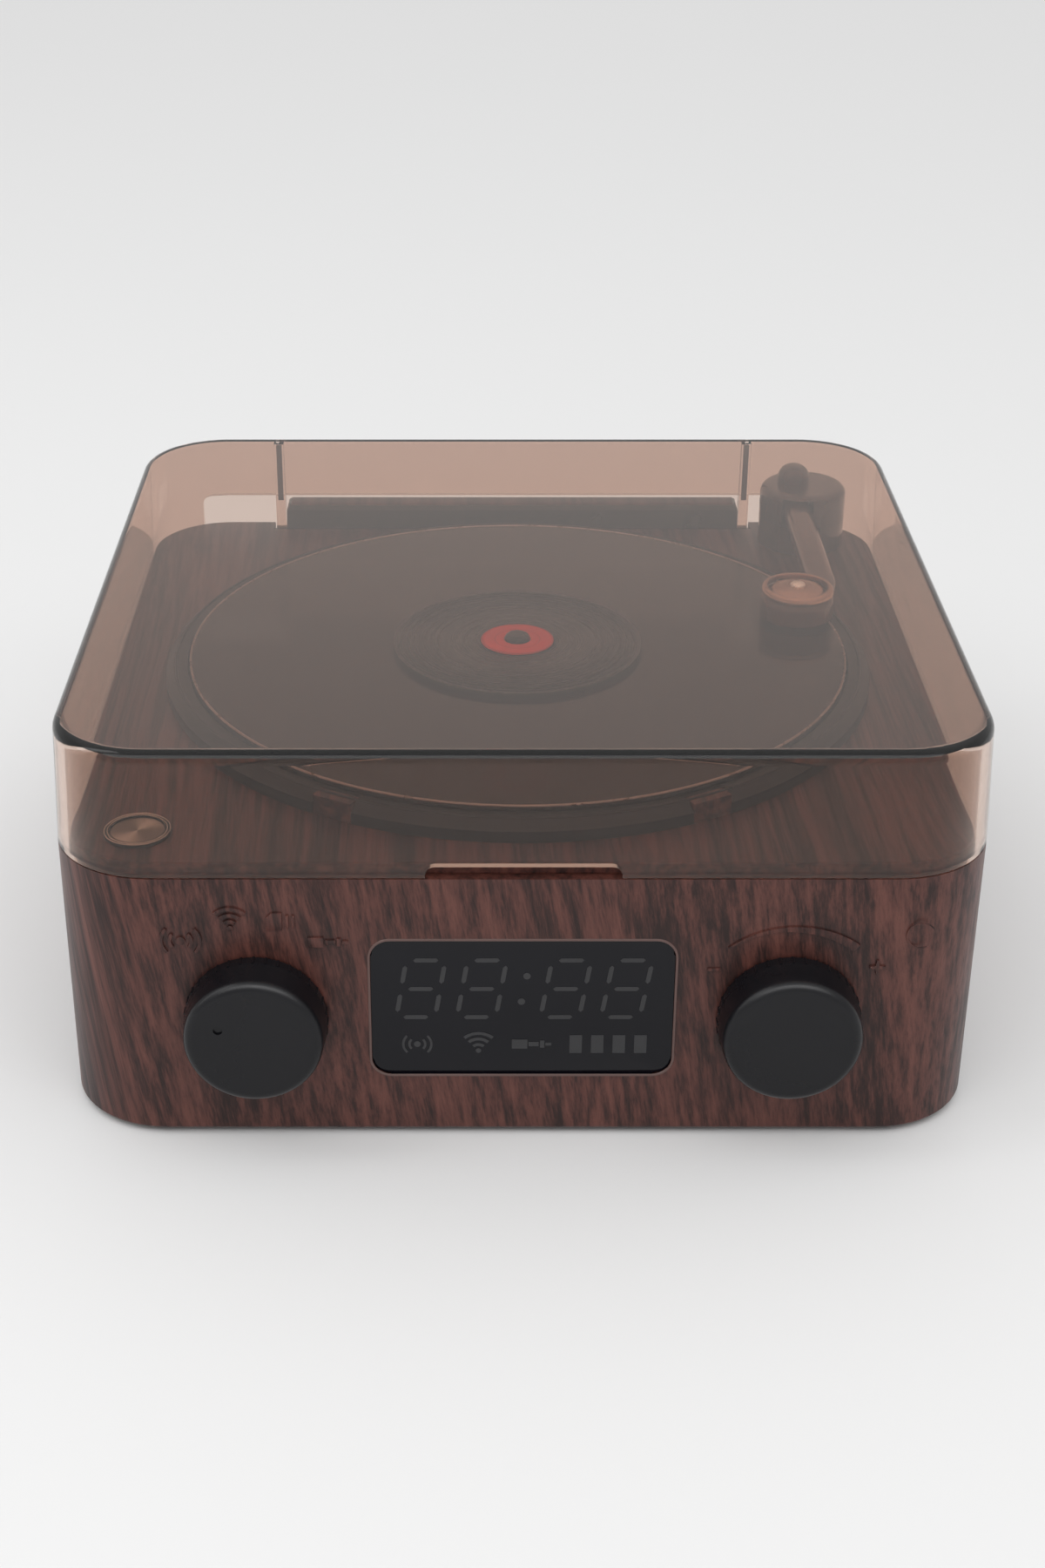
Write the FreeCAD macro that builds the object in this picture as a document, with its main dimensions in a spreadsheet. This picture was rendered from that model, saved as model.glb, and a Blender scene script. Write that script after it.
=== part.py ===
"""Turntable record player: a small wood-wrapped cabinet speaker with a spinning platter under a hinged lid.

Millimetres, +Z up, +X to the right as seen from the front, front towards -Y. The origin is the centre of
the footprint on the surface that the rubber feet stand on. Every driving size is one cell of the sheet
below; each sub-part is an object of the document whose sizes are bound to those cells.
"""
import FreeCAD, Part
import math
import os

import Sketcher
from FreeCAD import Placement, Rotation, Vector

# alias, value, meaning
SIZES = [
    # cabinet
    ("body_width", 200, "outside width of the cabinet and of the lid's foot"),
    ("body_depth", 194.5, "outside depth"),
    ("corner_radius", 22, "plan radius of the cabinet's corners"),
    ("body_height", 63.3, "height of the cabinet walls up to the lid joint"),
    ("foot_height", 1.5, "how far the rubber feet hold the cabinet off the table"),
    ("wall", 2.5, "cabinet wall"),
    ("edge_fillet", 0.8, "rounding of the cabinet's outer bottom edge"),
    ("fit_gap", 0.2, "gap round a panel that drops into a frame"),
    ("ledge_width", 3.5, "ledge inside the wall that carries the deck"),
    ("ledge_thick", 2.0, "thickness of that ledge and of the well floor"),
    ("ledge_drop", 3.1, "depth of the ledge below the lid joint"),
    # deck
    ("deck_rise", 2.9, "deck surface above the lid joint"),
    ("deck_inset", 2.7, "deck edge in from the outside of the cabinet"),
    ("deck_plate", 2.6, "thickness of the deck plate"),
    ("deck_skirt", 2.2, "wall of the skirt under the deck's rim"),
    ("platter_back", 1.7, "platter axis in front of the cabinet's middle"),
    ("well_radius", 76, "inside radius of the well under the platter"),
    ("well_wall", 2.0, "wall of the well"),
    ("boss_radius", 4.0, "screw boss"),
    ("deck_boss_radius", 3.4, "screw boss under the deck"),
    ("pilot_deep", 4.2, "pilot hole in a deck boss"),
    ("screw_radius", 1.25, "shank of the self-tapping screws"),
    ("screw_head", 2.6, "head radius of the self-tapping screws"),
    ("screw_head_tall", 1.4, "head height of the self-tapping screws"),
    ("screw_clear", 1.6, "clearance hole for those screws"),
    ("pilot_gap", 0.05, "gap between a screw and its pilot hole"),
    ("deck_boss_in", 9.0, "deck screws in from the cabinet's sides"),
    ("deck_boss_y", 40.0, "deck screws from the middle, fore and aft"),
    ("key_angle", 29.0, "angle of the two ring keys from straight ahead"),
    ("key_width", 9.5, "width of a ring key"),
    ("key_depth", 3.8, "how far a key reaches into the ring"),
    # lid
    ("lid_height", 28.7, "height of the lid above the joint"),
    ("lid_gap", 0.3, "gap between the lid's edge and the cabinet"),
    ("lid_wall", 2.2, "lid wall and lid top"),
    ("lid_draft", 2.25, "draft angle of the lid's walls"),
    ("lid_fillet", 2.8, "outer rounding along the top of the lid"),
    ("notch_width", 41.0, "width of the finger notch at the front"),
    ("notch_height", 2.6, "height of the finger notch"),
    ("hinge_cut_half", 86.0, "half length of the cut-out in the lid's rear wall"),
    ("hinge_cut_top", 10.7, "top of that cut-out above the lid joint"),
    # hinge
    ("hinge_half", 62.4, "half length of the hinge block"),
    ("hinge_deep", 8.0, "depth of the hinge block"),
    ("hinge_rise", 6.5, "top of the hinge block above the deck"),
    ("hinge_fillet", 1.5, "rounding of the hinge block"),
    ("pivot_in", 2.0, "hinge axis in from the back of the cabinet"),
    ("pivot_up", 1.5, "hinge axis above the lid joint"),
    ("pin_radius", 1.0, "hinge pin"),
    ("running_gap", 0.05, "radial gap of a shaft that turns in a bore"),
    ("pin_hold", 6.0, "length of a hinge pin inside the block"),
    ("arm_gap", 0.5, "gap between the hinge block and a lid arm"),
    ("arm_thick", 2.6, "thickness of a lid arm"),
    ("arm_deep", 3.6, "how far a lid arm stands in from the hinge axis"),
    ("eye_radius", 1.95, "outside radius of a lid arm's eye"),
    ("slot_gap", 0.6, "free space beside a lid arm in the cabinet's rear notch"),
    # platter
    ("platter_radius", 78.9, "platter"),
    ("platter_thick", 3.0, "platter thickness"),
    ("platter_rise", 5.7, "platter surface above the deck"),
    ("platter_edge", 0.5, "bevel along the platter's edge"),
    ("ring_outer", 84.6, "outside radius of the fixed ring round the platter"),
    ("ring_gap", 0.5, "gap between the platter and the ring"),
    ("ring_drop", 1.0, "ring surface below the platter surface"),
    ("ring_bevel", 2.0, "sloped outer edge of the ring"),
    ("record_radius", 30.2, "miniature record"),
    ("record_thick", 1.5, "record thickness"),
    ("label_radius", 8.8, "paper label on the record"),
    ("label_thick", 0.25, "label thickness"),
    ("spindle_radius", 3.0, "spindle shaft"),
    ("spindle_proud", 1.4, "spindle nose above the label"),
    ("spindle_long", 26.0, "spindle length below the platter"),
    ("bush_wall", 2.6, "wall of the spindle bush"),
    ("bush_long", 14.0, "length of the spindle bush"),
    ("pulley_radius", 45.0, "belt groove of the pulley under the platter"),
    ("pulley_flange", 1.6, "flange of the pulley beyond its groove"),
    ("pulley_thick", 4.0, "thickness of both pulleys"),
    ("pulley_clear", 1.3, "pulley above the well floor"),
    ("groove_width", 2.2, "belt groove width"),
    ("belt_width", 1.6, "belt height"),
    ("belt_thick", 1.0, "belt thickness"),
    ("belt_gap", 0.3, "working gap between belt and groove"),
    ("drive_ratio", 10, "motor turns for each platter turn"),
    ("motor_reach", 60.0, "motor axis from the platter axis"),
    ("motor_radius", 12.0, "motor can"),
    ("motor_tall", 20.0, "height of the motor can"),
    ("motor_shaft_radius", 1.0, "motor shaft"),
    ("motor_screw_reach", 8.5, "motor screws from the motor axis"),
    # tonearm
    ("post_in_side", 21.2, "tonearm post in from the cabinet's right side"),
    ("post_in_back", 16.25, "tonearm post in from the cabinet's back"),
    ("post_radius", 11.5, "tonearm post"),
    ("post_base", 7.5, "height of the fixed part of the post"),
    ("post_seam", 0.25, "gap under the turning cap"),
    ("cap_tall", 8.5, "height of the turning cap"),
    ("cap_fillet", 2.2, "rounding on top of the cap"),
    ("spigot_radius", 8.0, "spigot of the cap inside the post"),
    ("spigot_long", 5.0, "length of that spigot"),
    ("stem_radius", 3.0, "stem of the cap down through the deck"),
    ("stem_below", 4.0, "stem below the deck plate"),
    ("tube_offset", 2.5, "tonearm tube to the left of the post's axis"),
    ("tube_wide", 7.3, "width of the tonearm tube"),
    ("tube_tall", 5.6, "height of the tonearm tube"),
    ("tube_lift", 3.5, "middle of the tube above the cap's foot"),
    ("tube_slot_gap", 0.35, "gap each side of the tube in the cap's slot"),
    ("tube_tail", 4.0, "tube behind its pivot pin"),
    ("arm_pin_radius", 0.9, "pivot pin of the tonearm"),
    ("slot_top", 7.45, "top of the cap's slot above the cap's foot"),
    ("head_left", 9.5, "headshell to the left of the post"),
    ("head_reach", 66.5, "headshell in front of the post"),
    ("head_radius", 9.0, "headshell"),
    ("head_wall", 3.0, "straight part of the headshell's side"),
    ("head_tall", 6.4, "height of the headshell's shoulder"),
    ("head_floor", 1.2, "floor of the headshell under the dome"),
    ("head_clear", 1.0, "headshell above the platter"),
    ("dome_radius", 6.7, "polished dome in the headshell"),
    ("dome_tall", 8.9, "top of the dome above the headshell's foot"),
    ("dome_tip", 2.0, "flat polished tip of the dome"),
    ("tube_bend", 12.0, "radius of the tube's bend into the headshell"),
    ("knob_dome_radius", 4.2, "domed button on top of the cap"),
    ("knob_dome_tall", 4.7, "height of that button"),
    # front controls
    ("knob_in", 43.1, "knobs in from the cabinet's sides"),
    ("knob_z", 29.4, "knob axis above the cabinet's foot"),
    ("knob_radius", 15.3, "rear rim of a knob"),
    ("knob_nose", 14.7, "front rim of a knob"),
    ("knob_deep", 10.2, "knob depth"),
    ("knob_gap", 0.6, "gap between a knob and the cabinet"),
    ("knob_fillet", 2.2, "rounding of a knob's front rim"),
    ("knob_wall", 1.8, "knob wall"),
    ("grip_band", 2.4, "width of the ribbed band at the rear rim"),
    ("grip_ribs", 36, "ribs round that band"),
    ("grip_rib", 0.35, "radius of a rib"),
    ("hub_radius", 5.0, "hub inside a knob"),
    ("hub_start", 4.2, "hub starts this far inside the rear rim"),
    ("pointer_radius", 1.0, "pointer dimple"),
    ("pointer_reach", 8.0, "pointer dimple from the knob's axis"),
    ("pointer_angle", 64.0, "pointer dimple to the left of straight up"),
    ("shaft_radius", 3.0, "control shaft"),
    ("bushing_radius", 3.5, "threaded bushing of a control"),
    ("bushing_out", 3.4, "bushing in front of the cabinet wall"),
    ("control_side", 16.0, "square case of a control"),
    ("control_deep", 9.0, "depth of that case"),
    ("nut_across", 10.0, "nut across flats"),
    ("nut_thick", 2.0, "nut thickness"),
    # display
    ("window_width", 65.0, "display window"),
    ("window_height", 34.0, "display window"),
    ("window_radius", 4.3, "corners of the display window"),
    ("window_z", 31.4, "middle of the window above the cabinet's foot"),
    ("window_thick", 2.0, "window thickness"),
    ("window_sink", 0.35, "window set back from the cabinet's face"),
    ("frame_lap", 3.0, "frame behind the window, beyond it on every side"),
    ("led_width", 58.0, "display module"),
    ("led_height", 27.0, "display module"),
    ("led_thick", 6.0, "display module"),
    ("board_thick", 1.6, "circuit boards"),
    ("display_boss_out", 6.5, "display screws beyond the window's sides"),
    ("display_boss_z", 14.0, "display screws above and below the window's middle"),
    ("display_boss_radius", 2.6, "bosses behind the front wall"),
    ("small_screw", 0.95, "shank of the small board screws"),
    ("small_head", 1.9, "head radius of the small board screws"),
    # push button
    ("button_in_side", 18.1, "push button in from the cabinet's left side"),
    ("button_in_front", 15.75, "push button in from the cabinet's front"),
    ("button_ring_radius", 7.2, "button ring"),
    ("button_ring_proud", 0.8, "button ring above the deck"),
    ("button_barrel", 6.4, "barrel of the ring in the deck"),
    ("button_barrel_long", 7.5, "length of that barrel below the deck surface"),
    ("button_radius", 5.75, "button cap"),
    ("button_side_gap", 0.1, "gap round the button cap"),
    ("button_proud", 0.5, "button cap above the deck"),
    ("button_thick", 3.0, "button cap"),
    ("button_stem", 2.2, "stem under the cap"),
    ("plunger_radius", 1.7, "plunger of the switch"),
    ("switch_side", 6.2, "push switch"),
    ("switch_tall", 3.5, "push switch"),
    ("switch_drop", 9.2, "top of the switch below the deck surface"),
    ("spring_radius", 4.3, "mean radius of the button spring"),
    ("spring_wire", 0.3, "wire radius of the button spring"),
    ("spring_turns", 3.5, "turns of the button spring, in whole halves"),
    ("spring_play", 0.01, "gap at each end of the button spring"),
    # base, speaker, electronics
    ("base_thick", 2.5, "base plate"),
    ("base_boss_in", 16.0, "base screws in from the cabinet's sides"),
    ("base_boss_tall", 26.0, "height of the base screw bosses"),
    ("foot_radius", 7.0, "rubber foot"),
    ("foot_in", 26.0, "feet in from the cabinet's sides"),
    ("speaker_x", 40.0, "speaker to the left of the middle"),
    ("speaker_y", 12.0, "speaker behind the middle"),
    ("speaker_radius", 28.5, "speaker frame"),
    ("speaker_tall", 16.0, "speaker basket"),
    ("magnet_radius", 16.0, "speaker magnet"),
    ("magnet_tall", 9.0, "speaker magnet"),
    ("grille_slot", 3.0, "width of a grille slot"),
    ("grille_pitch", 6.0, "from one grille slot to the next"),
    ("grille_count", 8, "grille slots"),
    ("pcb_x", 38.0, "middle of the main board, sideways"),
    ("pcb_width", 76.0, "main board"),
    ("pcb_deep", 46.0, "main board"),
    ("pcb_lift", 5.0, "main board above the base plate"),
    ("pcb_hole_in", 4.0, "board screws in from the board's edges"),
    ("port_width", 52.0, "socket plate in the rear wall"),
    ("port_height", 15.0, "socket plate in the rear wall"),
    ("port_lip", 2.5, "lip of the socket plate inside the wall"),
    ("usb_x", -15.0, "charging socket from the plate's middle"),
    ("card_x", 14.5, "card slot from the plate's middle"),
    ("usb_width", 8.9, "charging socket"),
    ("usb_height", 3.2, "charging socket"),
    ("usb_deep", 7.3, "charging socket"),
    ("jack_bore", 1.78, "bore of the audio jack"),
    ("jack_nose", 3.0, "nose of the audio jack"),
    ("jack_axis", 3.4, "jack axis above the board"),
    ("jack_deep", 12.0, "audio jack"),
    ("card_width", 14.0, "card slot"),
    ("card_height", 1.9, "card slot"),
    ("card_deep", 14.5, "card slot"),
    ("cell_radius", 9.15, "battery cell"),
    ("cell_long", 65.0, "battery cell"),
    ("cell_x", 32.0, "middle of the cell, sideways"),
    ("cell_y", 30.0, "cell in front of the middle"),
    ("cradle_wall", 1.5, "wall of the battery cradle"),
]


class Size:
    """A number together with the sheet formula that it comes from."""

    def __init__(self, text, value):
        self.text = text
        self.value = float(value)

    @staticmethod
    def of(other):
        return other if isinstance(other, Size) else Size(repr(float(other)), other)

    def __add__(self, other):
        other = Size.of(other)
        return Size(f"({self.text} + {other.text})", self.value + other.value)

    def __sub__(self, other):
        other = Size.of(other)
        return Size(f"({self.text} - {other.text})", self.value - other.value)

    def __mul__(self, other):
        other = Size.of(other)
        return Size(f"({self.text} * {other.text})", self.value * other.value)

    def __truediv__(self, other):
        other = Size.of(other)
        return Size(f"({self.text} / {other.text})", self.value / other.value)

    def __radd__(self, other):
        return Size.of(other) + self

    def __rsub__(self, other):
        return Size.of(other) - self

    def __rmul__(self, other):
        return Size.of(other) * self

    def __neg__(self):
        return Size(f"(0 - {self.text})", -self.value)


def root(size):
    """Square root of a size."""
    return Size(f"sqrt({size.text})", math.sqrt(size.value))


def sine(angle):
    """Sine of an angle in degrees."""
    return Size(f"sin({angle.text} * 1deg)", math.sin(math.radians(angle.value)))


def tangent(angle):
    """Tangent of an angle in degrees."""
    return Size(f"tan({angle.text} * 1deg)", math.tan(math.radians(angle.value)))


def arctangent(slope):
    """Angle whose tangent is this, in degrees."""
    return Size(f"atan({slope.text})", math.degrees(math.atan(slope.value)))


def cosine(angle):
    """Cosine of an angle in degrees."""
    return Size(f"cos({angle.text} * 1deg)", math.cos(math.radians(angle.value)))


class Sheet:
    """The driving sizes as attributes: S.wall is the cell with the alias wall."""

    def __init__(self, doc):
        cells = doc.addObject("Spreadsheet::Sheet", "Sizes")
        self._values = {}
        for row, (alias, value, meaning) in enumerate(SIZES, start=1):
            cells.set(f"A{row}", alias)
            cells.set(f"B{row}", str(value))
            cells.set(f"C{row}", meaning)
            cells.setAlias(f"B{row}", alias)
            self._values[alias] = value
        doc.recompute()

    def __getattr__(self, alias):
        return Size(f"Sizes.{alias}", self._values[alias])


doc = FreeCAD.newDocument("TurntablePlayer")
S = Sheet(doc)

# ---------------------------------------------------------------- derived levels and places
foot_z = S.foot_height
joint_z = S.foot_height + S.body_height
deck_z = joint_z + S.deck_rise
deck_under = deck_z - S.deck_plate
ledge_z = joint_z - S.ledge_drop
well_under = ledge_z - S.ledge_thick
front_y = -S.body_depth / 2
back_y = S.body_depth / 2
inner_back_y = back_y - S.wall
inner_front_y = front_y + S.wall
base_z = foot_z + S.base_thick
platter_y = -S.platter_back
platter_z = deck_z + S.platter_rise
platter_under = platter_z - S.platter_thick
ring_z = platter_z - S.ring_drop
pulley_z = ledge_z + S.pulley_clear
groove_mid = pulley_z + S.pulley_thick / 2
pivot_y = back_y - S.pivot_in
pivot_z = joint_z + S.pivot_up
arm_start = S.hinge_half + S.arm_gap
arm_end = arm_start + S.arm_thick
notch_half = arm_end + S.slot_gap
cap_z = deck_z + S.post_base + S.post_seam
cap_top = cap_z + S.cap_tall
post_x = S.body_width / 2 - S.post_in_side
post_y = back_y - S.post_in_back
tube_x = post_x - S.tube_offset
tube_z = cap_z + S.tube_lift
head_z = platter_z + S.head_clear
head_x = post_x - S.head_left
head_y = post_y - S.head_reach
knob_z = foot_z + S.knob_z
knob_back_y = front_y - S.knob_gap
knob_face_y = knob_back_y - S.knob_deep
window_z = foot_z + S.window_z
window_face_y = front_y + S.window_sink
window_back_y = window_face_y + S.window_thick
button_x = S.button_in_side - S.body_width / 2
button_y = front_y + S.button_in_front
knob_x = S.body_width / 2 - S.knob_in
switch_z = deck_z - S.switch_drop
motor_x = S.motor_reach
motor_pulley_radius = S.pulley_radius / S.drive_ratio
speaker_x = -S.speaker_x
board_z = base_z + S.pcb_lift
board_top = board_z + S.board_thick
board_back_y = inner_back_y - 1.6
port_z = board_top + S.jack_axis
port_x = S.pcb_x
cell_y = -S.cell_y
cell_z = base_z + S.cradle_wall + S.cell_radius

AXIS = {
    "x": Rotation(Vector(0, 1, 0), 90),
    "y": Rotation(Vector(1, 0, 0), -90),
    "-y": Rotation(Vector(1, 0, 0), 90),
    "z": Rotation(),
    "-z": Rotation(Vector(1, 0, 0), 180),
}
PARTS = {}


# ---------------------------------------------------------------- helpers: primitives and booleans
def bind(obj, prop, size):
    """Bind one property to a size."""
    obj.setExpression(prop, Size.of(size).text)


def put(obj, at, axis="z"):
    """Turn an object's own Z to an axis and bind its place."""
    obj.Placement = Placement(Vector(), AXIS[axis])
    for letter, size in zip("xyz", at):
        bind(obj, f"Placement.Base.{letter}", size)


def cylinder(name, radius, height, at, axis="z"):
    """A cylinder whose first end is centred on at."""
    obj = doc.addObject("Part::Cylinder", name)
    bind(obj, "Radius", radius)
    bind(obj, "Height", height)
    put(obj, at, axis)
    return obj


def box(name, low, high):
    """A box between two corners."""
    obj = doc.addObject("Part::Box", name)
    for prop, start, end in zip(("Length", "Width", "Height"), low, high):
        bind(obj, prop, Size.of(end) - start)
    put(obj, low)
    return obj


def cone(name, radius1, radius2, height, at, axis="z"):
    """A cone from radius1 at its first end to radius2."""
    obj = doc.addObject("Part::Cone", name)
    bind(obj, "Radius1", radius1)
    bind(obj, "Radius2", radius2)
    bind(obj, "Height", height)
    put(obj, at, axis)
    return obj


def fuse(name, shapes):
    """All the shapes as one solid."""
    obj = doc.addObject("Part::MultiFuse", name)
    obj.Shapes = shapes
    return obj


def cut(name, base, *tools):
    """The base without the tools."""
    obj = doc.addObject("Part::Cut", name)
    obj.Base = base
    obj.Tool = tools[0] if len(tools) == 1 else fuse(f"{name}Tools", list(tools))
    return obj


def group(name, shapes):
    """Several separate solids that share one node."""
    obj = doc.addObject("Part::Compound", name)
    obj.Links = shapes
    return obj


def part(node, obj):
    """Register an object as the sub-part that is exported under this name."""
    obj.Label = node
    PARTS[node] = obj
    return obj


def screw(name, at, axis, length, shank=None, head=None):
    """A pan-head screw with a cross recess: at is the seat of its head, axis the way it is driven."""
    shank = shank or S.screw_radius
    head = head or S.screw_head
    back = {"z": (0, 0, -1), "-z": (0, 0, 1), "-y": (0, 1, 0)}[axis]
    outer = [place + step * S.screw_head_tall for place, step in zip(at, back)]
    solid = fuse(f"{name}Blank", [
        cylinder(f"{name}Head", head, S.screw_head_tall, outer, axis),
        cylinder(f"{name}Shank", shank, length, at, axis),
    ])
    slot, half = head * 0.16, head * 0.6
    reach = [S.screw_head_tall * 0.5 if step else half for step in back]
    bars = []
    for turn in (0, 1):
        low, high = [], []
        wide = turn
        for place, step, size in zip(outer, back, reach):
            if step:
                low.append(place if step < 0 else place - size)
                high.append(place + size if step < 0 else place)
            else:
                low.append(place - (half if wide else slot))
                high.append(place + (half if wide else slot))
                wide = not wide
        bars.append(box(f"{name}Recess{turn}", low, high))
    return cut(name, solid, *bars)


# ---------------------------------------------------------------- helpers: sketched bodies
class Body:
    """A PartDesign body with short calls for the features used here."""

    def __init__(self, node):
        self.name = "".join(word.capitalize() for word in node.split("_"))
        self.body = doc.addObject("PartDesign::Body", self.name)
        self.count = 0
        part(node, self.body)

    def _new(self, kind, label):
        self.count += 1
        return self.body.newObject(kind, f"{self.name}{label}{self.count}")

    def plane(self, role):
        """One of the body's own origin planes or axes."""
        return next(f for f in self.body.Origin.OriginFeatures if f.Role == role)

    def sketch(self, plane="XY_Plane", level=0):
        """A new sketch on an origin plane, moved along the plane's normal."""
        made = self._new("Sketcher::SketchObject", "Sketch")
        made.AttachmentSupport = [(self.plane(plane), "")]
        made.MapMode = "FlatFace"
        bind(made, "AttachmentOffset.Base.z", level)
        return made

    def _feature(self, kind, sketch):
        feature = self._new(f"PartDesign::{kind}", kind)
        feature.Profile = sketch
        sketch.Visibility = False
        return feature

    def pad(self, sketch, length, both=False, taper=None, down=False):
        """Grow a sketch into material."""
        feature = self._feature("Pad", sketch)
        bind(feature, "Length", length)
        feature.SideType = "Symmetric" if both else "One side"
        feature.Reversed = down
        if taper is not None:
            bind(feature, "TaperAngle", taper)
        doc.recompute()
        return feature

    def pocket(self, sketch, length, both=False, taper=None, up=False):
        """Cut a sketch away: down from the sketch, up from it, or both ways."""
        before = self.volume()
        feature = self._feature("Pocket", sketch)
        bind(feature, "Length", length)
        feature.SideType = "Symmetric" if both else "One side"
        feature.Reversed = up
        if taper is not None:
            bind(feature, "TaperAngle", taper)
        doc.recompute()
        if self.volume() >= before:
            raise RuntimeError(f"{feature.Name} cuts nothing")
        return feature

    def revolve(self, sketch, axis):
        """Turn a profile round one of the sketch's own axes."""
        feature = self._feature("Revolution", sketch)
        feature.ReferenceAxis = (sketch, [axis])
        feature.Angle = 360
        doc.recompute()
        return feature

    def sweep(self, section, path, edges):
        """Carry a section along some edges of a path sketch."""
        feature = self._feature("AdditivePipe", section)
        feature.Spine = (path, edges)
        doc.recompute()
        return feature

    def polar(self, originals, axis, count):
        """Repeat features round an axis."""
        feature = self._new("PartDesign::PolarPattern", "Pattern")
        feature.Originals = originals
        feature.Axis = axis
        feature.Angle = 360
        bind(feature, "Occurrences", count)
        self.body.Tip = feature
        doc.recompute()
        return feature

    def line_of(self, original, direction, length, count):
        """Repeat a feature along a sketch direction, over a total length."""
        feature = self._new("PartDesign::LinearPattern", "Row")
        feature.Originals = [original]
        feature.Direction = direction
        feature.Mode = "Extent"
        bind(feature, "Length", length)
        bind(feature, "Occurrences", count)
        self.body.Tip = feature
        doc.recompute()
        return feature

    def fillet(self, radius, chosen):
        """Round the edges that the test chooses."""
        return self._dress("Fillet", "Radius", radius, chosen)

    def _dress(self, kind, prop, size, chosen):
        base = self.body.Tip
        edges = [f"Edge{i}" for i, edge in enumerate(base.Shape.Edges, start=1) if chosen(edge)]
        if not edges:
            raise RuntimeError(f"{self.name}: no edge to {kind}")
        feature = self._new(f"PartDesign::{kind}", kind)
        feature.Base = (base, edges)
        bind(feature, prop, size)
        doc.recompute()
        return feature

    def volume(self):
        """Volume so far."""
        return self.body.Tip.Shape.Volume if self.body.Tip else 0.0


def pin_point(sketch, geometry, point, x, y):
    """Hold one point of a sketch at x, y by two bound distances from the origin."""
    for kind, size in (("DistanceX", x), ("DistanceY", y)):
        size = Size.of(size)
        number = sketch.addConstraint(Sketcher.Constraint(kind, -1, 1, geometry, point, size.value))
        sketch.setExpression(f"Constraints[{number}]", size.text)


def draw_circle(sketch, radius, x=0, y=0):
    """A circle held by its centre and radius."""
    radius, x, y = Size.of(radius), Size.of(x), Size.of(y)
    middle = Vector(x.value, y.value, 0)
    number = sketch.addGeometry(Part.Circle(middle, Vector(0, 0, 1), radius.value))
    pin_point(sketch, number, 3, x, y)
    held = sketch.addConstraint(Sketcher.Constraint("Radius", number, radius.value))
    sketch.setExpression(f"Constraints[{held}]", radius.text)


def draw_outline(sketch, points):
    """A closed outline of straight lines through held points."""
    points = [(Size.of(x), Size.of(y)) for x, y in points]
    places = [Vector(x.value, y.value, 0) for x, y in points]
    lines = [
        sketch.addGeometry(Part.LineSegment(start, end))
        for start, end in zip(places, places[1:] + places[:1])
    ]
    for this, following in zip(lines, lines[1:] + lines[:1]):
        sketch.addConstraint(Sketcher.Constraint("Coincident", this, 2, following, 1))
    for line, (x, y) in zip(lines, points):
        pin_point(sketch, line, 1, x, y)


def draw_rectangle(sketch, width, height, x=0, y=0):
    """A rectangle centred on x, y."""
    width, height, x, y = (Size.of(size) for size in (width, height, x, y))
    left, right, low, high = x - width / 2, x + width / 2, y - height / 2, y + height / 2
    draw_outline(sketch, [(left, low), (right, low), (right, high), (left, high)])


def draw_rounded(sketch, width, height, radius, x=0, y=0):
    """A rectangle with round corners: four held arcs joined by tangent lines."""
    width, height, radius, x, y = (Size.of(size) for size in (width, height, radius, x, y))
    across, along = width / 2 - radius, height / 2 - radius
    arcs = []
    for quarter, (sx, sy) in enumerate(((1, 1), (-1, 1), (-1, -1), (1, -1))):
        cx, cy = x + sx * across, y + sy * along
        circle = Part.Circle(Vector(cx.value, cy.value, 0), Vector(0, 0, 1), radius.value)
        start = quarter * math.pi / 2
        number = sketch.addGeometry(Part.ArcOfCircle(circle, start, start + math.pi / 2))
        pin_point(sketch, number, 3, cx, cy)
        arcs.append(number)
    held = sketch.addConstraint(Sketcher.Constraint("Radius", arcs[0], radius.value))
    sketch.setExpression(f"Constraints[{held}]", radius.text)
    for arc in arcs[1:]:
        sketch.addConstraint(Sketcher.Constraint("Equal", arcs[0], arc))
    for this, following in zip(arcs, arcs[1:] + arcs[:1]):
        start = sketch.getPoint(this, 2)
        end = sketch.getPoint(following, 1)
        line = sketch.addGeometry(Part.LineSegment(start, end))
        sketch.addConstraint(Sketcher.Constraint("Tangent", this, 2, line, 1))
        sketch.addConstraint(Sketcher.Constraint("Tangent", line, 2, following, 1))


def at_height(height):
    """Choose the edges that lie wholly at one height."""
    def chosen(edge):
        limits = edge.BoundBox
        return abs(limits.ZMin - height.value) < 0.01 and abs(limits.ZMax - height.value) < 0.01
    return chosen


def reaches(half_width, half_depth, inset):
    """Choose the edges whose middle lies within inset of a rectangular outline."""
    def chosen(edge):
        middle = edge.valueAt((edge.FirstParameter + edge.LastParameter) / 2)
        if edge.Curve.TypeId == "Part::GeomCircle":
            return edge.Curve.Radius > S.corner_radius.value - inset
        return abs(middle.x) > half_width.value - inset or abs(middle.y) > half_depth.value - inset
    return chosen


def four(across, along, x=0, y=0):
    """The four corners of a rectangle, as places."""
    return [(x + sx * across, y + sy * along) for sx in (1, -1) for sy in (1, -1)]


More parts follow.
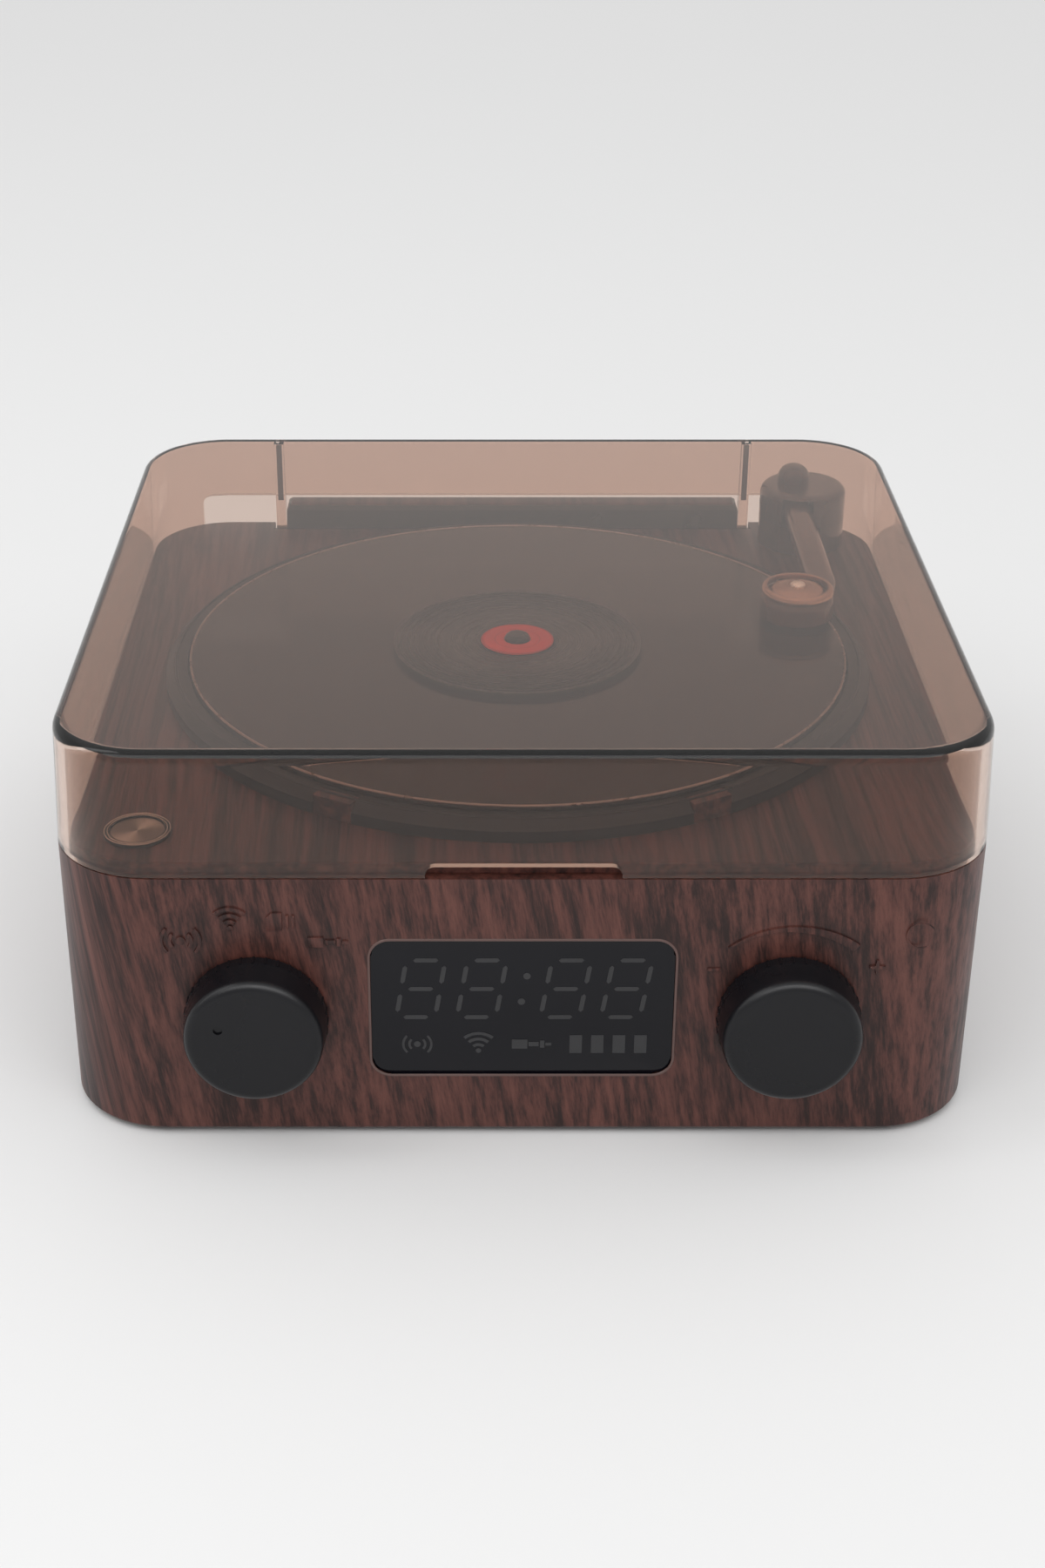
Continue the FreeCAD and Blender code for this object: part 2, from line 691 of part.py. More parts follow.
deck_bosses = four(S.body_width / 2 - S.deck_boss_in, S.deck_boss_y)
base_bosses = four(S.body_width / 2 - S.base_boss_in, S.body_depth / 2 - S.base_boss_in)
foot_places = four(S.body_width / 2 - S.foot_in, S.body_depth / 2 - S.foot_in)
display_bosses = four(S.window_width / 2 + S.display_boss_out, S.display_boss_z, 0, window_z)
board_holes = four(
    S.pcb_width / 2 - S.pcb_hole_in, S.pcb_deep / 2 - S.pcb_hole_in,
    S.pcb_x, board_back_y - S.pcb_deep / 2,
)
speaker_holes = four(
    (S.speaker_radius - 2) * 0.7071, (S.speaker_radius - 2) * 0.7071, speaker_x, S.speaker_y,
)
led_back_y = window_back_y + S.fit_gap + S.led_thick
display_back_y = led_back_y + S.board_thick


# ---------------------------------------------------------------- cabinet
def make_cabinet():
    """The wood-wrapped shell: walls, ledge, screw bosses and every opening in the walls."""
    shell = Body("body_shell")
    walls = shell.sketch(level=foot_z)
    draw_rounded(walls, S.body_width, S.body_depth, S.corner_radius)
    draw_rounded(
        walls, S.body_width - 2 * S.wall, S.body_depth - 2 * S.wall, S.corner_radius - S.wall)
    shell.pad(walls, S.body_height)
    outer = reaches(S.body_width / 2, S.body_depth / 2, S.wall.value / 2)
    foot_edge = at_height(foot_z)
    shell.fillet(S.edge_fillet, lambda edge: foot_edge(edge) and outer(edge))

    ledge = shell.sketch(level=well_under)
    draw_rounded(ledge, S.body_width - S.wall, S.body_depth - S.wall, S.corner_radius - S.wall / 2)
    inward = S.wall + S.ledge_width
    draw_rounded(
        ledge, S.body_width - 2 * inward, S.body_depth - 2 * inward, S.corner_radius - inward)
    shell.pad(ledge, S.ledge_thick)
    lugs = shell.sketch(level=well_under)
    for x, y in deck_bosses:
        draw_circle(lugs, S.boss_radius, x, y)
    shell.pad(lugs, S.ledge_thick)
    lug_holes = shell.sketch(level=ledge_z)
    for x, y in deck_bosses:
        draw_circle(lug_holes, S.screw_clear, x, y)
    shell.pocket(lug_holes, S.ledge_thick)

    bosses = shell.sketch(level=base_z)
    for x, y in base_bosses:
        draw_circle(bosses, S.boss_radius, x, y)
    shell.pad(bosses, S.base_boss_tall)
    webs = shell.sketch(level=base_z)
    web_long = S.base_boss_in - S.wall
    for side in (1, -1):
        for x, y in base_bosses[:2]:
            draw_rectangle(webs, web_long, 2, side * (x + web_long / 2), y)
    shell.pad(webs, S.base_boss_tall)
    pilots = shell.sketch(level=base_z)
    for x, y in base_bosses:
        draw_circle(pilots, S.screw_radius + S.pilot_gap, x, y)
    shell.pocket(pilots, S.base_boss_tall / 2, up=True)

    studs = shell.sketch("XZ_Plane", -inner_front_y)
    for x, z in display_bosses:
        draw_circle(studs, S.display_boss_radius, x, z)
    shell.pad(studs, led_back_y - inner_front_y, down=True)
    stud_holes = shell.sketch("XZ_Plane", -led_back_y)
    for x, z in display_bosses:
        draw_circle(stud_holes, S.small_screw + S.pilot_gap, x, z)
    shell.pocket(stud_holes, led_back_y - inner_front_y, up=True)

    front = shell.sketch("XZ_Plane", -front_y)
    draw_rounded(
        front, S.window_width + 2 * S.fit_gap, S.window_height + 2 * S.fit_gap,
        S.window_radius + S.fit_gap, 0, window_z)
    for side in (1, -1):
        draw_circle(front, S.bushing_radius + S.fit_gap, side * knob_x, knob_z)
    shell.pocket(front, 3 * S.wall, both=True)
    ports = shell.sketch("XZ_Plane", -back_y)
    draw_rectangle(
        ports, S.port_width + 2 * S.fit_gap, S.port_height + 2 * S.fit_gap, port_x, port_z)
    shell.pocket(ports, 3 * S.wall, both=True)
    notch = shell.sketch("XZ_Plane", -back_y)
    draw_rectangle(notch, 2 * notch_half, 2 * S.ledge_drop, 0, ledge_z + S.ledge_drop)
    shell.pocket(notch, 3 * S.wall, both=True)


def make_base():
    """The base plate with its grille and board standoffs, the feet and the base screws."""
    plate = Body("base_plate")
    outline = plate.sketch(level=foot_z)
    inset = S.wall + S.fit_gap
    draw_rounded(
        outline, S.body_width - 2 * inset, S.body_depth - 2 * inset, S.corner_radius - inset)
    plate.pad(outline, S.base_thick)
    standoffs = plate.sketch(level=base_z)
    for x, y in board_holes:
        draw_circle(standoffs, S.boss_radius - 1, x, y)
    plate.pad(standoffs, S.pcb_lift)
    taps = plate.sketch(level=board_z)
    for x, y in board_holes:
        draw_circle(taps, S.small_screw + S.pilot_gap, x, y)
    plate.pocket(taps, S.pcb_lift)
    clear = plate.sketch(level=base_z)
    for x, y in base_bosses:
        draw_circle(clear, S.screw_clear, x, y)
    plate.pocket(clear, S.base_thick)
    sinks = plate.sketch(level=foot_z)
    for x, y in base_bosses:
        draw_circle(sinks, S.screw_head + S.fit_gap, x, y)
    plate.pocket(sinks, S.screw_head_tall, up=True)
    speaker_taps = plate.sketch(level=base_z)
    for x, y in speaker_holes:
        draw_circle(speaker_taps, S.small_screw + S.pilot_gap, x, y)
    plate.pocket(speaker_taps, S.base_thick - 0.2)
    span = S.grille_pitch * (S.grille_count - 1)
    slot = plate.sketch(level=base_z)
    draw_rounded(
        slot, 1.25 * S.speaker_radius, S.grille_slot, S.grille_slot / 2 - 0.05,
        speaker_x, S.speaker_y - span / 2)
    first = plate.pocket(slot, S.base_thick)
    plate.line_of(first, (slot, ["V_Axis"]), span, S.grille_count)

    feet = []
    for number, (x, y) in enumerate(foot_places):
        feet.append(cone(f"Foot{number}", S.foot_radius - 0.4, S.foot_radius, foot_z, (x, y, 0)))
    part("rubber_feet", group("RubberFeet", feet))
    seat = foot_z + S.screw_head_tall
    part("base_screws", group("BaseScrews", [
        screw(f"BaseScrew{number}", (x, y, seat), "z", S.base_thick + S.base_boss_tall / 4)
        for number, (x, y) in enumerate(base_bosses)
    ]))


# ---------------------------------------------------------------- deck
def key_corners(gap, side):
    """Corners of one ring key in plan, grown by a gap on its sides and inner face."""
    angle = S.key_angle
    out = (side * sine(angle), -cosine(angle))
    along = (cosine(angle), side * sine(angle))
    half = S.key_width / 2 + gap
    near, far = S.ring_outer - S.key_depth - gap, S.ring_outer - S.fit_gap + 10 * gap
    return [
        (reach * out[0] + shift * along[0], platter_y + reach * out[1] + shift * along[1])
        for reach, shift in ((near, -half), (far, -half), (far, half), (near, half))
    ]


def make_deck():
    """The deck panel with the platter well, and the screws that hold it."""
    deck = Body("deck_panel")
    width, depth = S.body_width - 2 * S.deck_inset, S.body_depth - 2 * S.deck_inset
    radius = S.corner_radius - S.deck_inset
    plate = deck.sketch(level=deck_under)
    draw_rounded(plate, width, depth, radius)
    deck.pad(plate, S.deck_plate)
    deck.fillet(S.edge_fillet / 2, at_height(deck_z))
    skirt = deck.sketch(level=ledge_z)
    draw_rounded(skirt, width, depth, radius)
    draw_rounded(
        skirt, width - 2 * S.deck_skirt, depth - 2 * S.deck_skirt, radius - S.deck_skirt)
    deck.pad(skirt, deck_under - ledge_z)
    well = deck.sketch(level=well_under)
    draw_circle(well, S.well_radius + S.well_wall, 0, platter_y)
    draw_circle(well, S.well_radius - S.well_wall, 0, platter_y)
    deck.pad(well, deck_under - well_under)
    floor = deck.sketch(level=well_under)
    draw_circle(floor, S.well_radius, 0, platter_y)
    deck.pad(floor, S.ledge_thick)
    mouth = deck.sketch(level=deck_z)
    draw_circle(mouth, S.well_radius, 0, platter_y)
    deck.pocket(mouth, deck_z - ledge_z)

    keys = deck.sketch(level=deck_z)
    for side in (1, -1):
        draw_outline(keys, key_corners(0, side))
    deck.pad(keys, ring_z - deck_z)
    bosses = deck.sketch(level=ledge_z)
    for x, y in deck_bosses:
        draw_circle(bosses, S.deck_boss_radius, x, y)
    deck.pad(bosses, deck_under - ledge_z)
    pilots = deck.sketch(level=ledge_z)
    for x, y in deck_bosses:
        draw_circle(pilots, S.screw_radius + S.pilot_gap, x, y)
    deck.pocket(pilots, S.pilot_deep, up=True)
    stakes = deck.sketch(level=deck_under)
    for side in (1, -1):
        draw_circle(stakes, 1.3, button_x + side * (S.button_barrel + 2.2), button_y)
    deck.pad(stakes, deck_under - switch_z + S.switch_tall + S.board_thick, down=True)

    through = deck.sketch(level=deck_z)
    draw_circle(through, S.button_barrel + S.pilot_gap, button_x, button_y)
    draw_circle(through, S.stem_radius + 0.5, post_x, post_y)
    deck.pocket(through, S.deck_plate + 0.5)
    floor_holes = deck.sketch(level=ledge_z)
    draw_circle(floor_holes, S.spindle_radius + S.bush_wall + 2 * S.running_gap, 0, platter_y)
    draw_circle(floor_holes, 3.2, motor_x, platter_y)
    for side in (1, -1):
        draw_circle(
            floor_holes, S.small_screw + 0.15, motor_x, platter_y + side * S.motor_screw_reach)
    deck.pocket(floor_holes, S.ledge_thick)
    notch = deck.sketch(level=deck_z)
    notch_deep = S.hinge_deep + S.fit_gap
    draw_rectangle(notch, 2 * notch_half, notch_deep, 0, back_y - notch_deep / 2)
    deck.pocket(notch, deck_z - ledge_z)

    part("deck_screws", group("DeckScrews", [
        screw(f"DeckScrew{number}", (x, y, well_under), "z", S.ledge_thick + S.pilot_deep - 0.4)
        for number, (x, y) in enumerate(deck_bosses)
    ]))


# ---------------------------------------------------------------- lid and hinge
def make_lid():
    """The clear lid: drafted shell, finger notch, rear cut-out and the two hinge arms."""
    lid = Body("lid")
    lean = tangent(S.lid_draft)
    foot = joint_z + S.lid_gap
    top = joint_z + S.lid_height
    outside = lid.sketch(level=foot)
    draw_rounded(outside, S.body_width, S.body_depth, S.corner_radius)
    lid.pad(outside, top - foot, taper=-S.lid_draft)
    lid.fillet(S.lid_fillet, at_height(top))
    inside = lid.sketch(level=foot)
    draw_rounded(
        inside, S.body_width - 2 * S.lid_wall, S.body_depth - 2 * S.lid_wall,
        S.corner_radius - S.lid_wall)
    lid.pocket(inside, top - foot - S.lid_wall, up=True, taper=-S.lid_draft)

    finger = lid.sketch("XZ_Plane", -front_y)
    notch_tall = 2 * (S.notch_height + S.lid_gap)
    draw_rounded(finger, S.notch_width, notch_tall, S.notch_height * 0.8, 0, joint_z)
    lid.pocket(finger, 4 * S.lid_wall, both=True)
    rear = lid.sketch("XZ_Plane", -back_y)
    draw_rounded(rear, 2 * S.hinge_cut_half, 2 * S.hinge_cut_top, S.lid_wall, 0, joint_z)
    lid.pocket(rear, 5 * S.lid_wall, both=True)

    for side in (1, -1):
        arm = lid.sketch("YZ_Plane", side * arm_start)
        middle = back_y - S.lid_wall / 2
        draw_outline(arm, [
            (pivot_y - S.arm_deep, pivot_z + 1.5 * S.eye_radius),
            (pivot_y - S.eye_radius, pivot_z),
            (pivot_y + S.eye_radius, pivot_z),
            (middle - lean * S.hinge_cut_top, joint_z + S.hinge_cut_top),
            (middle - lean * S.lid_height, top - S.lid_wall / 2),
            (pivot_y - S.arm_deep, top - S.lid_wall / 2),
        ])
        lid.pad(arm, S.arm_thick, down=side < 0)
        eye = lid.sketch("YZ_Plane", side * arm_start)
        draw_circle(eye, S.eye_radius, pivot_y, pivot_z)
        lid.pad(eye, S.arm_thick, down=side < 0)
    bore = lid.sketch("YZ_Plane")
    draw_circle(bore, S.pin_radius + S.running_gap, pivot_y, pivot_z)
    lid.pocket(bore, 2 * (arm_end + S.slot_gap), both=True)


def make_hinge():
    """The hinge block along the back of the deck, and its two pins."""
    block = Body("hinge_block")
    section = block.sketch("YZ_Plane")
    top = deck_z + S.hinge_rise
    draw_rectangle(
        section, S.hinge_deep, top - ledge_z, back_y - S.hinge_deep / 2, (top + ledge_z) / 2)
    block.pad(section, 2 * S.hinge_half, both=True)
    block.fillet(S.hinge_fillet, at_height(top))
    for side in (1, -1):
        bore = block.sketch("YZ_Plane", side * S.hinge_half)
        draw_circle(bore, S.pin_radius + S.running_gap, pivot_y, pivot_z)
        block.pocket(bore, S.pin_hold, up=side < 0)
    length = S.pin_hold + S.arm_gap + S.arm_thick + S.slot_gap / 2
    pins = [
        cylinder("HingePinRight", S.pin_radius, length, (S.hinge_half - S.pin_hold, pivot_y, pivot_z), "x"),
        cylinder(
            "HingePinLeft", S.pin_radius, length, (S.pin_hold - S.hinge_half - length, pivot_y, pivot_z), "x"),
    ]
    part("hinge_pins", group("HingePins", pins))


# ---------------------------------------------------------------- platter and drive
def turned(node, x, y, points, lift=0, axis="z"):
    """A turned piece: a profile of (radius, height) points round an upright axis at x, y."""
    piece = Body(node)
    put(piece.body, (x, y, lift), axis)
    profile = piece.sketch("XZ_Plane")
    draw_outline(profile, points)
    piece.revolve(profile, "V_Axis")
    return piece


def make_platter():
    """Everything that turns with the platter, the ring round it and the bush under it."""
    bore = S.spindle_radius + S.pilot_gap
    edge = S.platter_edge
    turned("platter", 0, platter_y, [
        (bore, platter_under), (S.platter_radius - edge, platter_under),
        (S.platter_radius, platter_under + edge), (S.platter_radius, platter_z - edge),
        (S.platter_radius - edge, platter_z), (bore, platter_z),
    ])
    groove_low, groove_high = groove_mid - S.groove_width / 2, groove_mid + S.groove_width / 2
    flange = S.pulley_radius + S.pulley_flange
    pulley_top = pulley_z + S.pulley_thick
    hub = 4 * S.spindle_radius
    turned("platter_pulley", 0, platter_y, [
        (bore, pulley_z), (flange, pulley_z), (flange, groove_low), (S.pulley_radius, groove_low),
        (S.pulley_radius, groove_high), (flange, groove_high), (flange, pulley_top),
        (hub, pulley_top), (hub, platter_under), (bore, platter_under),
    ])
    bush_inner = S.spindle_radius + S.running_gap
    bush_outer = bush_inner + S.bush_wall
    bush_low = ledge_z - S.bush_long
    turned("spindle_bush", 0, platter_y, [
        (bush_inner, bush_low), (bush_outer, bush_low), (bush_outer, well_under - S.ledge_thick),
        (bush_outer + S.bush_wall, well_under - S.ledge_thick),
        (bush_outer + S.bush_wall, well_under), (bush_outer, well_under), (bush_outer, ledge_z),
        (bush_inner, ledge_z),
    ])
    clip_top = bush_low - S.fit_gap
    clip_low = clip_top - 1
    neck = S.spindle_radius - 0.5
    label_z = platter_z + S.record_thick + S.label_thick
    nose = label_z + S.spindle_proud
    spindle = turned("spindle", 0, platter_y, [
        (0, platter_under - S.spindle_long), (S.spindle_radius, platter_under - S.spindle_long),
        (S.spindle_radius, clip_low - S.pilot_gap), (neck, clip_low - S.pilot_gap),
        (neck, clip_top + S.pilot_gap), (S.spindle_radius, clip_top + S.pilot_gap),
        (S.spindle_radius, nose), (0, nose),
    ])
    spindle.fillet(S.spindle_proud * 0.8, at_height(nose))
    turned("spindle_clip", 0, platter_y, [
        (neck + S.pilot_gap, clip_low), (bush_outer, clip_low), (bush_outer, clip_top),
        (neck + S.pilot_gap, clip_top),
    ])
    rim = S.record_thick / 5
    turned("record", 0, platter_y, [
        (bore, platter_z), (S.record_radius, platter_z),
        (S.record_radius, platter_z + S.record_thick - rim),
        (S.record_radius - rim, platter_z + S.record_thick), (bore, platter_z + S.record_thick),
    ])
    turned("record_label", 0, platter_y, [
        (bore, platter_z + S.record_thick), (S.label_radius, platter_z + S.record_thick),
        (S.label_radius, label_z), (bore, label_z),
    ])
    ring_inner = S.platter_radius + S.ring_gap
    ring = turned("platter_ring", 0, 0, [
        (ring_inner, deck_z), (S.ring_outer, deck_z), (S.ring_outer, ring_z - S.ring_bevel),
        (S.ring_outer - S.ring_bevel, ring_z), (ring_inner, ring_z),
    ])
    put(ring.body, (0, platter_y, 0))
    notches = ring.sketch(level=ring_z)
    for side in (1, -1):
        draw_outline(notches, [(x, y - platter_y) for x, y in key_corners(0.15, side)])
    ring.pocket(notches, ring_z - deck_z)


def belt_outline(radius1, radius2, reach, height):
    """A closed wire round two pulleys: two arcs joined by their outer tangents."""
    tilt = math.acos((radius1 - radius2) / reach)
    up1 = Vector(radius1 * math.cos(tilt), radius1 * math.sin(tilt), height)
    up2 = Vector(reach + radius2 * math.cos(tilt), radius2 * math.sin(tilt), height)
    down1, down2 = Vector(up1.x, -up1.y, height), Vector(up2.x, -up2.y, height)
    far1, far2 = Vector(-radius1, 0, height), Vector(reach + radius2, 0, height)
    return Part.Wire([
        Part.Arc(up1, far1, down1).toShape(),
        Part.LineSegment(down1, down2).toShape(),
        Part.Arc(down2, far2, up2).toShape(),
        Part.LineSegment(up2, up1).toShape(),
    ])


def make_drive():
    """Motor, its shaft, pulley and screws, and the flat belt."""
    can_low = well_under - S.motor_tall
    shaft_low = well_under - S.motor_tall / 2
    bore = S.motor_shaft_radius + S.running_gap
    can = cylinder("MotorCanBlank", S.motor_radius, S.motor_tall, (motor_x, platter_y, can_low))
    bores = [cylinder("MotorBore", bore, S.motor_tall, (motor_x, platter_y, shaft_low - 0.5))]
    screws = []
    for number, side in enumerate((1, -1)):
        at = (motor_x, platter_y + side * S.motor_screw_reach)
        grip = S.ledge_thick + 3
        bores.append(cylinder(
            f"MotorTap{number}", S.small_screw + S.pilot_gap, grip, (*at, ledge_z - grip)))
        screws.append(screw(
            f"MotorScrew{number}", (*at, ledge_z), "-z", grip - 0.3, S.small_screw, S.small_head))
    part("motor_can", cut("MotorCan", can, *bores))
    part("motor_screws", group("MotorScrews", screws))
    pulley_top = pulley_z + S.pulley_thick
    part("motor_shaft", cylinder(
        "MotorShaft", S.motor_shaft_radius, pulley_top + 0.6 - shaft_low,
        (motor_x, platter_y, shaft_low)))
    groove_low, groove_high = groove_mid - S.groove_width / 2, groove_mid + S.groove_width / 2
    flange = motor_pulley_radius + S.pulley_flange
    inner = S.motor_shaft_radius + S.pilot_gap
    turned("motor_pulley", motor_x, platter_y, [
        (inner, pulley_z), (flange, pulley_z), (flange, groove_low),
        (motor_pulley_radius, groove_low), (motor_pulley_radius, groove_high),
        (flange, groove_high), (flange, pulley_top), (inner, pulley_top),
    ])
    low = groove_mid.value - S.belt_width.value / 2
    inner_loop, outer_loop = (
        belt_outline(
            S.pulley_radius.value + grow, motor_pulley_radius.value + grow, motor_x.value, low)
        for grow in (S.belt_gap.value, S.belt_gap.value + S.belt_thick.value)
    )
    belt = doc.addObject("Part::Feature", "DriveBelt")
    ring = Part.Face(outer_loop).cut(Part.Face(inner_loop))
    belt.Shape = ring.Faces[0].extrude(Vector(0, 0, S.belt_width.value))
    belt.Placement = Placement(Vector(0, platter_y.value, 0), Rotation())
    part("drive_belt", belt)


# ---------------------------------------------------------------- tonearm
def make_tonearm():
    """The fixed post, the turning cap, and the tube with its headshell that tilts in the cap."""
    spigot_low = cap_z - S.spigot_long
    stem_low = deck_under - S.stem_below
    pocket_low = spigot_low - S.post_seam
    part("tonearm_base", cut(
        "TonearmBase",
        cylinder("PostBlank", S.post_radius, S.post_base, (post_x, post_y, deck_z)),
        cylinder("PostBore", S.spigot_radius + S.running_gap, S.post_base, (post_x, post_y, pocket_low)),
        cylinder("StemBore", S.stem_radius + S.running_gap, S.post_base, (post_x, post_y, deck_z)),
    ))
    neck = S.stem_radius - 0.5
    clip_top = deck_under - S.fit_gap
    clip_low = clip_top - 1
    cap = turned("tonearm_cap", post_x, post_y, [
        (0, stem_low), (S.stem_radius, stem_low), (S.stem_radius, clip_low - S.pilot_gap),
        (neck, clip_low - S.pilot_gap), (neck, clip_top + S.pilot_gap),
        (S.stem_radius, clip_top + S.pilot_gap), (S.stem_radius, spigot_low),
        (S.spigot_radius, spigot_low), (S.spigot_radius, cap_z), (S.post_radius, cap_z),
        (S.post_radius, cap_top), (0, cap_top),
    ])
    cap.fillet(S.cap_fillet, at_height(cap_top))
    slot = cap.sketch(level=cap_z)
    tail = S.tube_tail + 1.2
    slot_long = S.post_radius + 1 + tail
    draw_rectangle(
        slot, S.tube_wide + 2 * S.tube_slot_gap, slot_long, -S.tube_offset, tail - slot_long / 2)
    cap.pocket(slot, S.slot_top, up=True)
    bore = cap.sketch("YZ_Plane")
    draw_circle(bore, S.arm_pin_radius + S.pilot_gap, 0, tube_z)
    cap.pocket(bore, 3 * S.post_radius, both=True)
    turned("tonearm_clip", post_x, post_y, [
        (neck + S.pilot_gap, clip_low), (S.stem_radius + 2.5, clip_low),
        (S.stem_radius + 2.5, clip_top), (neck + S.pilot_gap, clip_top),
    ])
    pin_half = S.post_radius - 1
    part("tonearm_pin", cylinder(
        "TonearmPin", S.arm_pin_radius, 2 * pin_half, (post_x - pin_half, post_y, tube_z), "x"))
    dome = turned("tonearm_button", tube_x, post_y + S.cap_fillet, [
        (0, cap_top), (S.knob_dome_radius, cap_top), (S.knob_dome_radius, cap_top + S.knob_dome_tall),
        (0, cap_top + S.knob_dome_tall),
    ])
    dome.fillet(S.knob_dome_radius * 0.8, at_height(cap_top + S.knob_dome_tall))

    pipe = Body("tonearm_pipe")
    del PARTS["tonearm_pipe"]
    start_y = post_y + S.tube_tail
    bend_y = head_y + S.tube_bend * 0.75
    section = pipe.sketch("XZ_Plane", -start_y)
    draw_rounded(section, S.tube_wide, S.tube_tall, S.tube_tall * 0.4, tube_x, tube_z)
    path = pipe.sketch(level=tube_z)
    draw_bend(path, tube_x, start_y, bend_y, S.tube_bend)
    pipe.sweep(section, path, ["Edge1", "Edge2"])

    shoulder = S.head_tall - S.head_wall
    outer_profile = [
        (0, head_z), (S.head_radius - 0.4, head_z), (S.head_radius, head_z + 0.4),
        (S.head_radius, head_z + S.head_tall), (0, head_z + S.head_tall),
    ]
    envelope = turned("headshell_envelope", head_x, head_y, outer_profile)
    del PARTS["headshell_envelope"]
    envelope.fillet(shoulder * 0.7, at_height(head_z + S.head_tall))
    part("tonearm_tube", cut(
        "TonearmTube", pipe.body, envelope.body,
        cylinder("TubeEnd", S.dome_radius + 1, S.dome_tall + 1, (head_x, head_y, head_z)),
        cylinder("TubeBore", S.arm_pin_radius + S.running_gap, 3 * S.post_radius,
                 (post_x - 1.5 * S.post_radius, post_y, tube_z), "x"),
    ))
    shell = turned("headshell", head_x, head_y, outer_profile)
    shell.fillet(shoulder * 0.7, at_height(head_z + S.head_tall))
    seat = shell.sketch(level=head_z + S.head_floor)
    draw_circle(seat, S.dome_radius + S.pilot_gap)
    shell.pocket(seat, S.head_tall, up=True)
    dome_top = head_z + S.dome_tall
    tip = turned("headshell_dome", head_x, head_y, [
        (0, head_z + S.head_floor), (S.dome_radius, head_z + S.head_floor),
        (S.dome_radius, dome_top), (0, dome_top),
    ])
    tip.fillet(S.dome_radius - S.dome_tip, at_height(dome_top))


def draw_bend(sketch, x, start_y, bend_y, radius):
    """A path that runs forwards, then bends to the left on an arc of 50 degrees."""
    sweep = math.radians(50)
    line = sketch.addGeometry(Part.LineSegment(
        Vector(x.value, start_y.value, 0), Vector(x.value, bend_y.value, 0)))
    centre = x - radius
    circle = Part.Circle(Vector(centre.value, bend_y.value, 0), Vector(0, 0, 1), radius.value)
    arc = sketch.addGeometry(Part.ArcOfCircle(circle, -sweep, 0))
    pin_point(sketch, line, 1, x, start_y)
    pin_point(sketch, line, 2, x, bend_y)
    pin_point(sketch, arc, 3, centre, bend_y)
    sketch.addConstraint(Sketcher.Constraint("Coincident", line, 2, arc, 2))
    low = bend_y - radius * math.sin(sweep)
    number = sketch.addConstraint(Sketcher.Constraint("DistanceY", -1, 1, arc, 1, low.value))
    sketch.setExpression(f"Constraints[{number}]", low.text)


# ---------------------------------------------------------------- front controls
def make_knob(node, side):
    """A hollow ribbed knob; its own Z runs forwards out of the cabinet."""
    cavity_top = S.knob_deep - 1.1 * S.knob_wall
    cavity = S.knob_radius - S.knob_wall
    bore = S.shaft_radius + S.pilot_gap
    knob = turned(node, side * knob_x, knob_back_y, [
        (0, cavity_top), (bore, cavity_top), (bore, S.hub_start), (S.hub_radius, S.hub_start),
        (S.hub_radius, cavity_top), (cavity, cavity_top), (cavity, 0), (S.knob_radius, 0),
        (S.knob_radius, S.grip_band), (S.knob_nose, S.knob_deep), (0, S.knob_deep),
    ], knob_z, "-y")
    knob.fillet(S.knob_fillet, at_height(S.knob_deep))
    rib = knob.sketch()
    draw_circle(rib, S.grip_rib, S.knob_radius - 0.4 * S.grip_rib)
    first = knob.pad(rib, S.grip_band)
    knob.polar([first], (rib, ["N_Axis"]), S.grip_ribs)
    return knob


def make_controls():
    """Both knobs with their shafts, cases and nuts."""
    mode = make_knob("mode_knob", -1)
    dimple = mode.sketch(level=S.knob_deep)
    draw_circle(
        dimple, S.pointer_radius, -(S.pointer_reach * sine(S.pointer_angle)),
        S.pointer_reach * cosine(S.pointer_angle))
    mode.pocket(dimple, S.pointer_radius / 2)
    make_knob("volume_knob", 1)
    case_back = inner_front_y + S.control_deep
    shaft_back = inner_front_y + 0.6 * S.control_deep
    nose = front_y - S.bushing_out
    tip = knob_face_y + 1.1 * S.knob_wall + 2 * S.pilot_gap
    half = S.control_side / 2
    nuts = []
    for side, shaft, case in ((-1, "mode_shaft", "mode_switch"), (1, "volume_shaft", "volume_pot")):
        x = side * knob_x
        part(shaft, cylinder(
            f"{case}Shaft", S.shaft_radius, shaft_back - tip, (x, shaft_back, knob_z), "-y"))
        blank = fuse(f"{case}Blank", [
            box(f"{case}Box", (x - half, inner_front_y, knob_z - half),
                (x + half, case_back, knob_z + half)),
            cylinder(f"{case}Bushing", S.bushing_radius, inner_front_y - nose,
                     (x, inner_front_y, knob_z), "-y"),
        ])
        part(case, cut(f"{case}Case", blank, cylinder(
            f"{case}Bore", S.shaft_radius + S.running_gap, shaft_back + 0.3 - nose,
            (x, shaft_back + 0.3, knob_z), "-y")))
        nut = Body(f"{case}_nut")
        del PARTS[f"{case}_nut"]
        ring = nut.sketch("XZ_Plane", -front_y)
        corner = S.nut_across / 2 / 0.8660
        draw_outline(ring, [
            (x + corner * math.cos(math.radians(60 * turn)),
             knob_z + corner * math.sin(math.radians(60 * turn)))
            for turn in range(6)
        ])
        draw_circle(ring, S.bushing_radius + S.pilot_gap, x, knob_z)
        nut.pad(ring, S.nut_thick)
        nuts.append(nut.body)
    part("control_nuts", group("ControlNuts", nuts))


